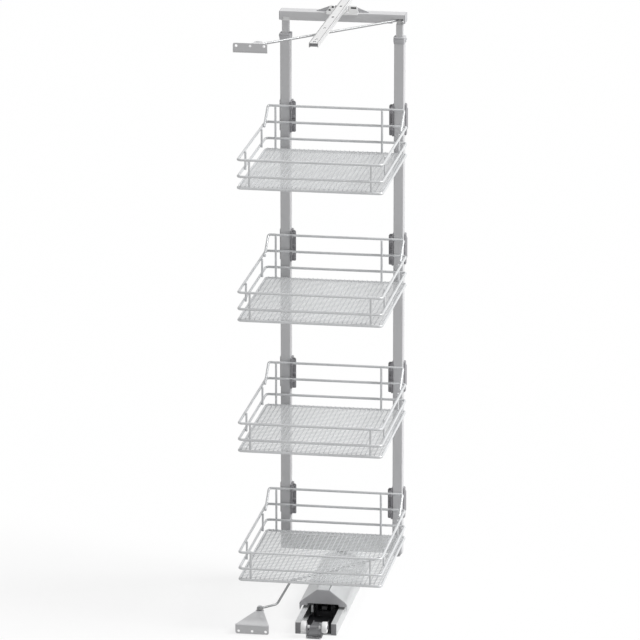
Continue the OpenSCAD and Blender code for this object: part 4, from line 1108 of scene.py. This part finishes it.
class LARDER_OT_carriage(bpy.types.Operator):
    """Carriage with its cover, front cap, bridge and spacer"""
    bl_idname = "larder.carriage"
    bl_label = "Carriage"

    def execute(self, context):
        repaint("zinc", "carriage_plate", "inner_bridge")
        repaint("black", "beam_spacer")
        low, high = node_box("runner_cover")
        front, back, top, flat, sheet = low[1], high[1], high[2], COVER_FLAT / 2, 1.5
        shell = plate(cover_section(low, high, sheet)[:, ::-1], (front, back), "y", bevel=0.3)
        pad = block((-flat + 3, front + 16, top - 0.3), (flat - 12, front + 44, top + 0.6), "z", 2.0, 0.3)
        # painted shade: a black strip for the dark line where the cover's flat top meets its right slope
        edge_shade = block((flat - 1.2, front + 1, top - 0.8), (flat + 0.4, back - 1, top + 0.35), "y", 0.3, 0.2)
        add_piece("cover", shell, "frame", "cover", ["runner_cover"])
        add_piece("cover_pad", pad, "frame", "cover")
        add_piece("cover_edge_shade", edge_shade, "frame", "black")
        add_piece("cap", cap_shape(), "frame", "grey", ["cover_cap"])
        return {"FINISHED"}


# ---------------------------------------------------------------- stage

CAMERA_PLACE = (2.2581, -14.3108, 4.8034)       # metres
CAMERA_TILT, CAMERA_TURN = 74.46, 9.188         # degrees from straight down, and from the Y axis
SENSOR, LENS, SHIFT_X = 36.0, 304.13, -0.0016
SUN_WAY = (0.67, 0.0, 0.74)                     # from the object towards the sun
SUN_SPREAD = 28                                 # degrees


def seen_directly(tree):
    """1 for camera, glossy and transmission rays and 0 for others: the greatest of the three."""
    rays = tree.nodes.new("ShaderNodeLightPath").outputs
    kind = rays["Is Camera Ray"]
    for other in ("Is Glossy Ray", "Is Transmission Ray"):
        kind = add_node(tree, "ShaderNodeMath", {0: kind, 1: rays[other]}, "Value", operation="MAXIMUM")
    return kind


def floor_finish(shade):
    """White floor: mostly an even white where it is seen, with a share of real light for the shadow,
    and a darker grey to the light that it throws back at the object."""
    material = bpy.data.materials.new("floor")
    material.use_nodes = True
    tree = material.node_tree
    camera = add_node(tree, "ShaderNodeLightPath", {}, "Is Camera Ray")
    grey = add_node(tree, "ShaderNodeMapRange", {"Value": camera, "To Min": 0.6, "To Max": 0.93}, "Result")
    lit = tree.nodes["Principled BSDF"]
    set_inputs(tree, lit, {"Base Color": grey, "Roughness": 0.9, "Specular IOR Level": 0.1})
    white = add_node(tree, "ShaderNodeEmission", {"Color": (1, 1, 1, 1)}, "Emission")
    share = add_node(tree, "ShaderNodeMath", {0: seen_directly(tree), 1: 1 - shade}, "Value",
                     operation="MULTIPLY")
    mix = add_node(tree, "ShaderNodeMixShader", {"Fac": share, 1: lit.outputs["BSDF"], 2: white}, "Shader")
    tree.links.new(mix, tree.nodes["Material Output"].inputs["Surface"])
    return material


def studio_sky(brightness):
    """White where it is seen or reflected, and an even light on everything else."""
    world = bpy.data.worlds.new("studio")
    world.use_nodes = True
    tree = world.node_tree
    light = tree.nodes["Background"]
    set_inputs(tree, light, {"Color": (1, 1, 1, 1), "Strength": brightness})
    white = add_node(tree, "ShaderNodeBackground", {"Strength": 1.0}, "Background")
    inputs = {"Fac": seen_directly(tree), 1: light.outputs["Background"], 2: white}
    mix = add_node(tree, "ShaderNodeMixShader", inputs, "Shader")
    tree.links.new(mix, tree.nodes["World Output"].inputs["Surface"])
    return world


class LARDER_OT_stage(bpy.types.Operator):
    """Camera at the photograph's angle, pale floor and soft light"""
    bl_idname = "larder.stage"
    bl_label = "Stage"

    def execute(self, context):
        scene, stage = context.scene, context.scene.larder_stage
        link = scene.collection.objects.link
        scene.view_settings.view_transform = "Standard"
        camera = bpy.data.objects.new("camera", bpy.data.cameras.new("camera"))
        camera.data.sensor_width, camera.data.lens, camera.data.shift_x = SENSOR, LENS, SHIFT_X
        camera.data.clip_end = 200.0
        camera.location = CAMERA_PLACE
        camera.rotation_euler = (math.radians(CAMERA_TILT), 0.0, math.radians(CAMERA_TURN))
        link(camera)
        scene.camera = camera

        half = 60.0
        mesh = bpy.data.meshes.new("floor")
        mesh.from_pydata([(-half, -half, 0), (half, -half, 0), (half, half, 0), (-half, half, 0)], [],
                         [(0, 1, 2, 3)])
        mesh.materials.append(floor_finish(stage.floor_shade))
        floor = bpy.data.objects.new("floor", mesh)
        link(floor)

        scene.world = studio_sky(stage.sky)
        sun = bpy.data.lights.new("sun", "SUN")
        sun.energy, sun.angle = stage.sun, math.radians(SUN_SPREAD)
        lamp = bpy.data.objects.new("sun", sun)
        lamp.rotation_mode = "QUATERNION"
        lamp.rotation_quaternion = Vector(SUN_WAY).to_track_quat("Z", "Y")
        link(lamp)
        return {"FINISHED"}


# ---------------------------------------------------------------- add-on

STEPS = (LARDER_OT_stage, LARDER_OT_baskets, LARDER_OT_clips, LARDER_OT_uprights, LARDER_OT_beams,
         LARDER_OT_guide, LARDER_OT_door_link, LARDER_OT_floor_rail, LARDER_OT_carriage)
SETTINGS = {"larder_baskets": LarderBasketSettings, "larder_finish": LarderFinishSettings,
            "larder_stage": LarderStageSettings}


class LARDER_PT_panel(bpy.types.Panel):
    """The unit's sizes, colours and building steps"""
    bl_idname = "LARDER_PT_panel"
    bl_label = "Larder unit"
    bl_space_type = "VIEW_3D"
    bl_region_type = "UI"
    bl_category = "Larder"

    def draw(self, context):
        for name, settings in SETTINGS.items():
            group = getattr(context.scene, name)
            for key in settings.__annotations__:
                self.layout.prop(group, key)
        for step in STEPS:
            self.layout.operator(step.bl_idname)


def register():
    for name, settings in SETTINGS.items():
        bpy.utils.register_class(settings)
        setattr(bpy.types.Scene, name, bpy.props.PointerProperty(type=settings))
    for step in STEPS:
        bpy.utils.register_class(step)
    bpy.utils.register_class(LARDER_PT_panel)


def unregister():
    bpy.utils.unregister_class(LARDER_PT_panel)
    for step in reversed(STEPS):
        bpy.utils.unregister_class(step)
    for name, settings in SETTINGS.items():
        delattr(bpy.types.Scene, name)
        bpy.utils.unregister_class(settings)


def main():
    """Runs every step in order."""
    register()
    for step in STEPS:
        group, action = step.bl_idname.split(".")
        getattr(getattr(bpy.ops, group), action)()


if __name__ == "__main__":
    main()
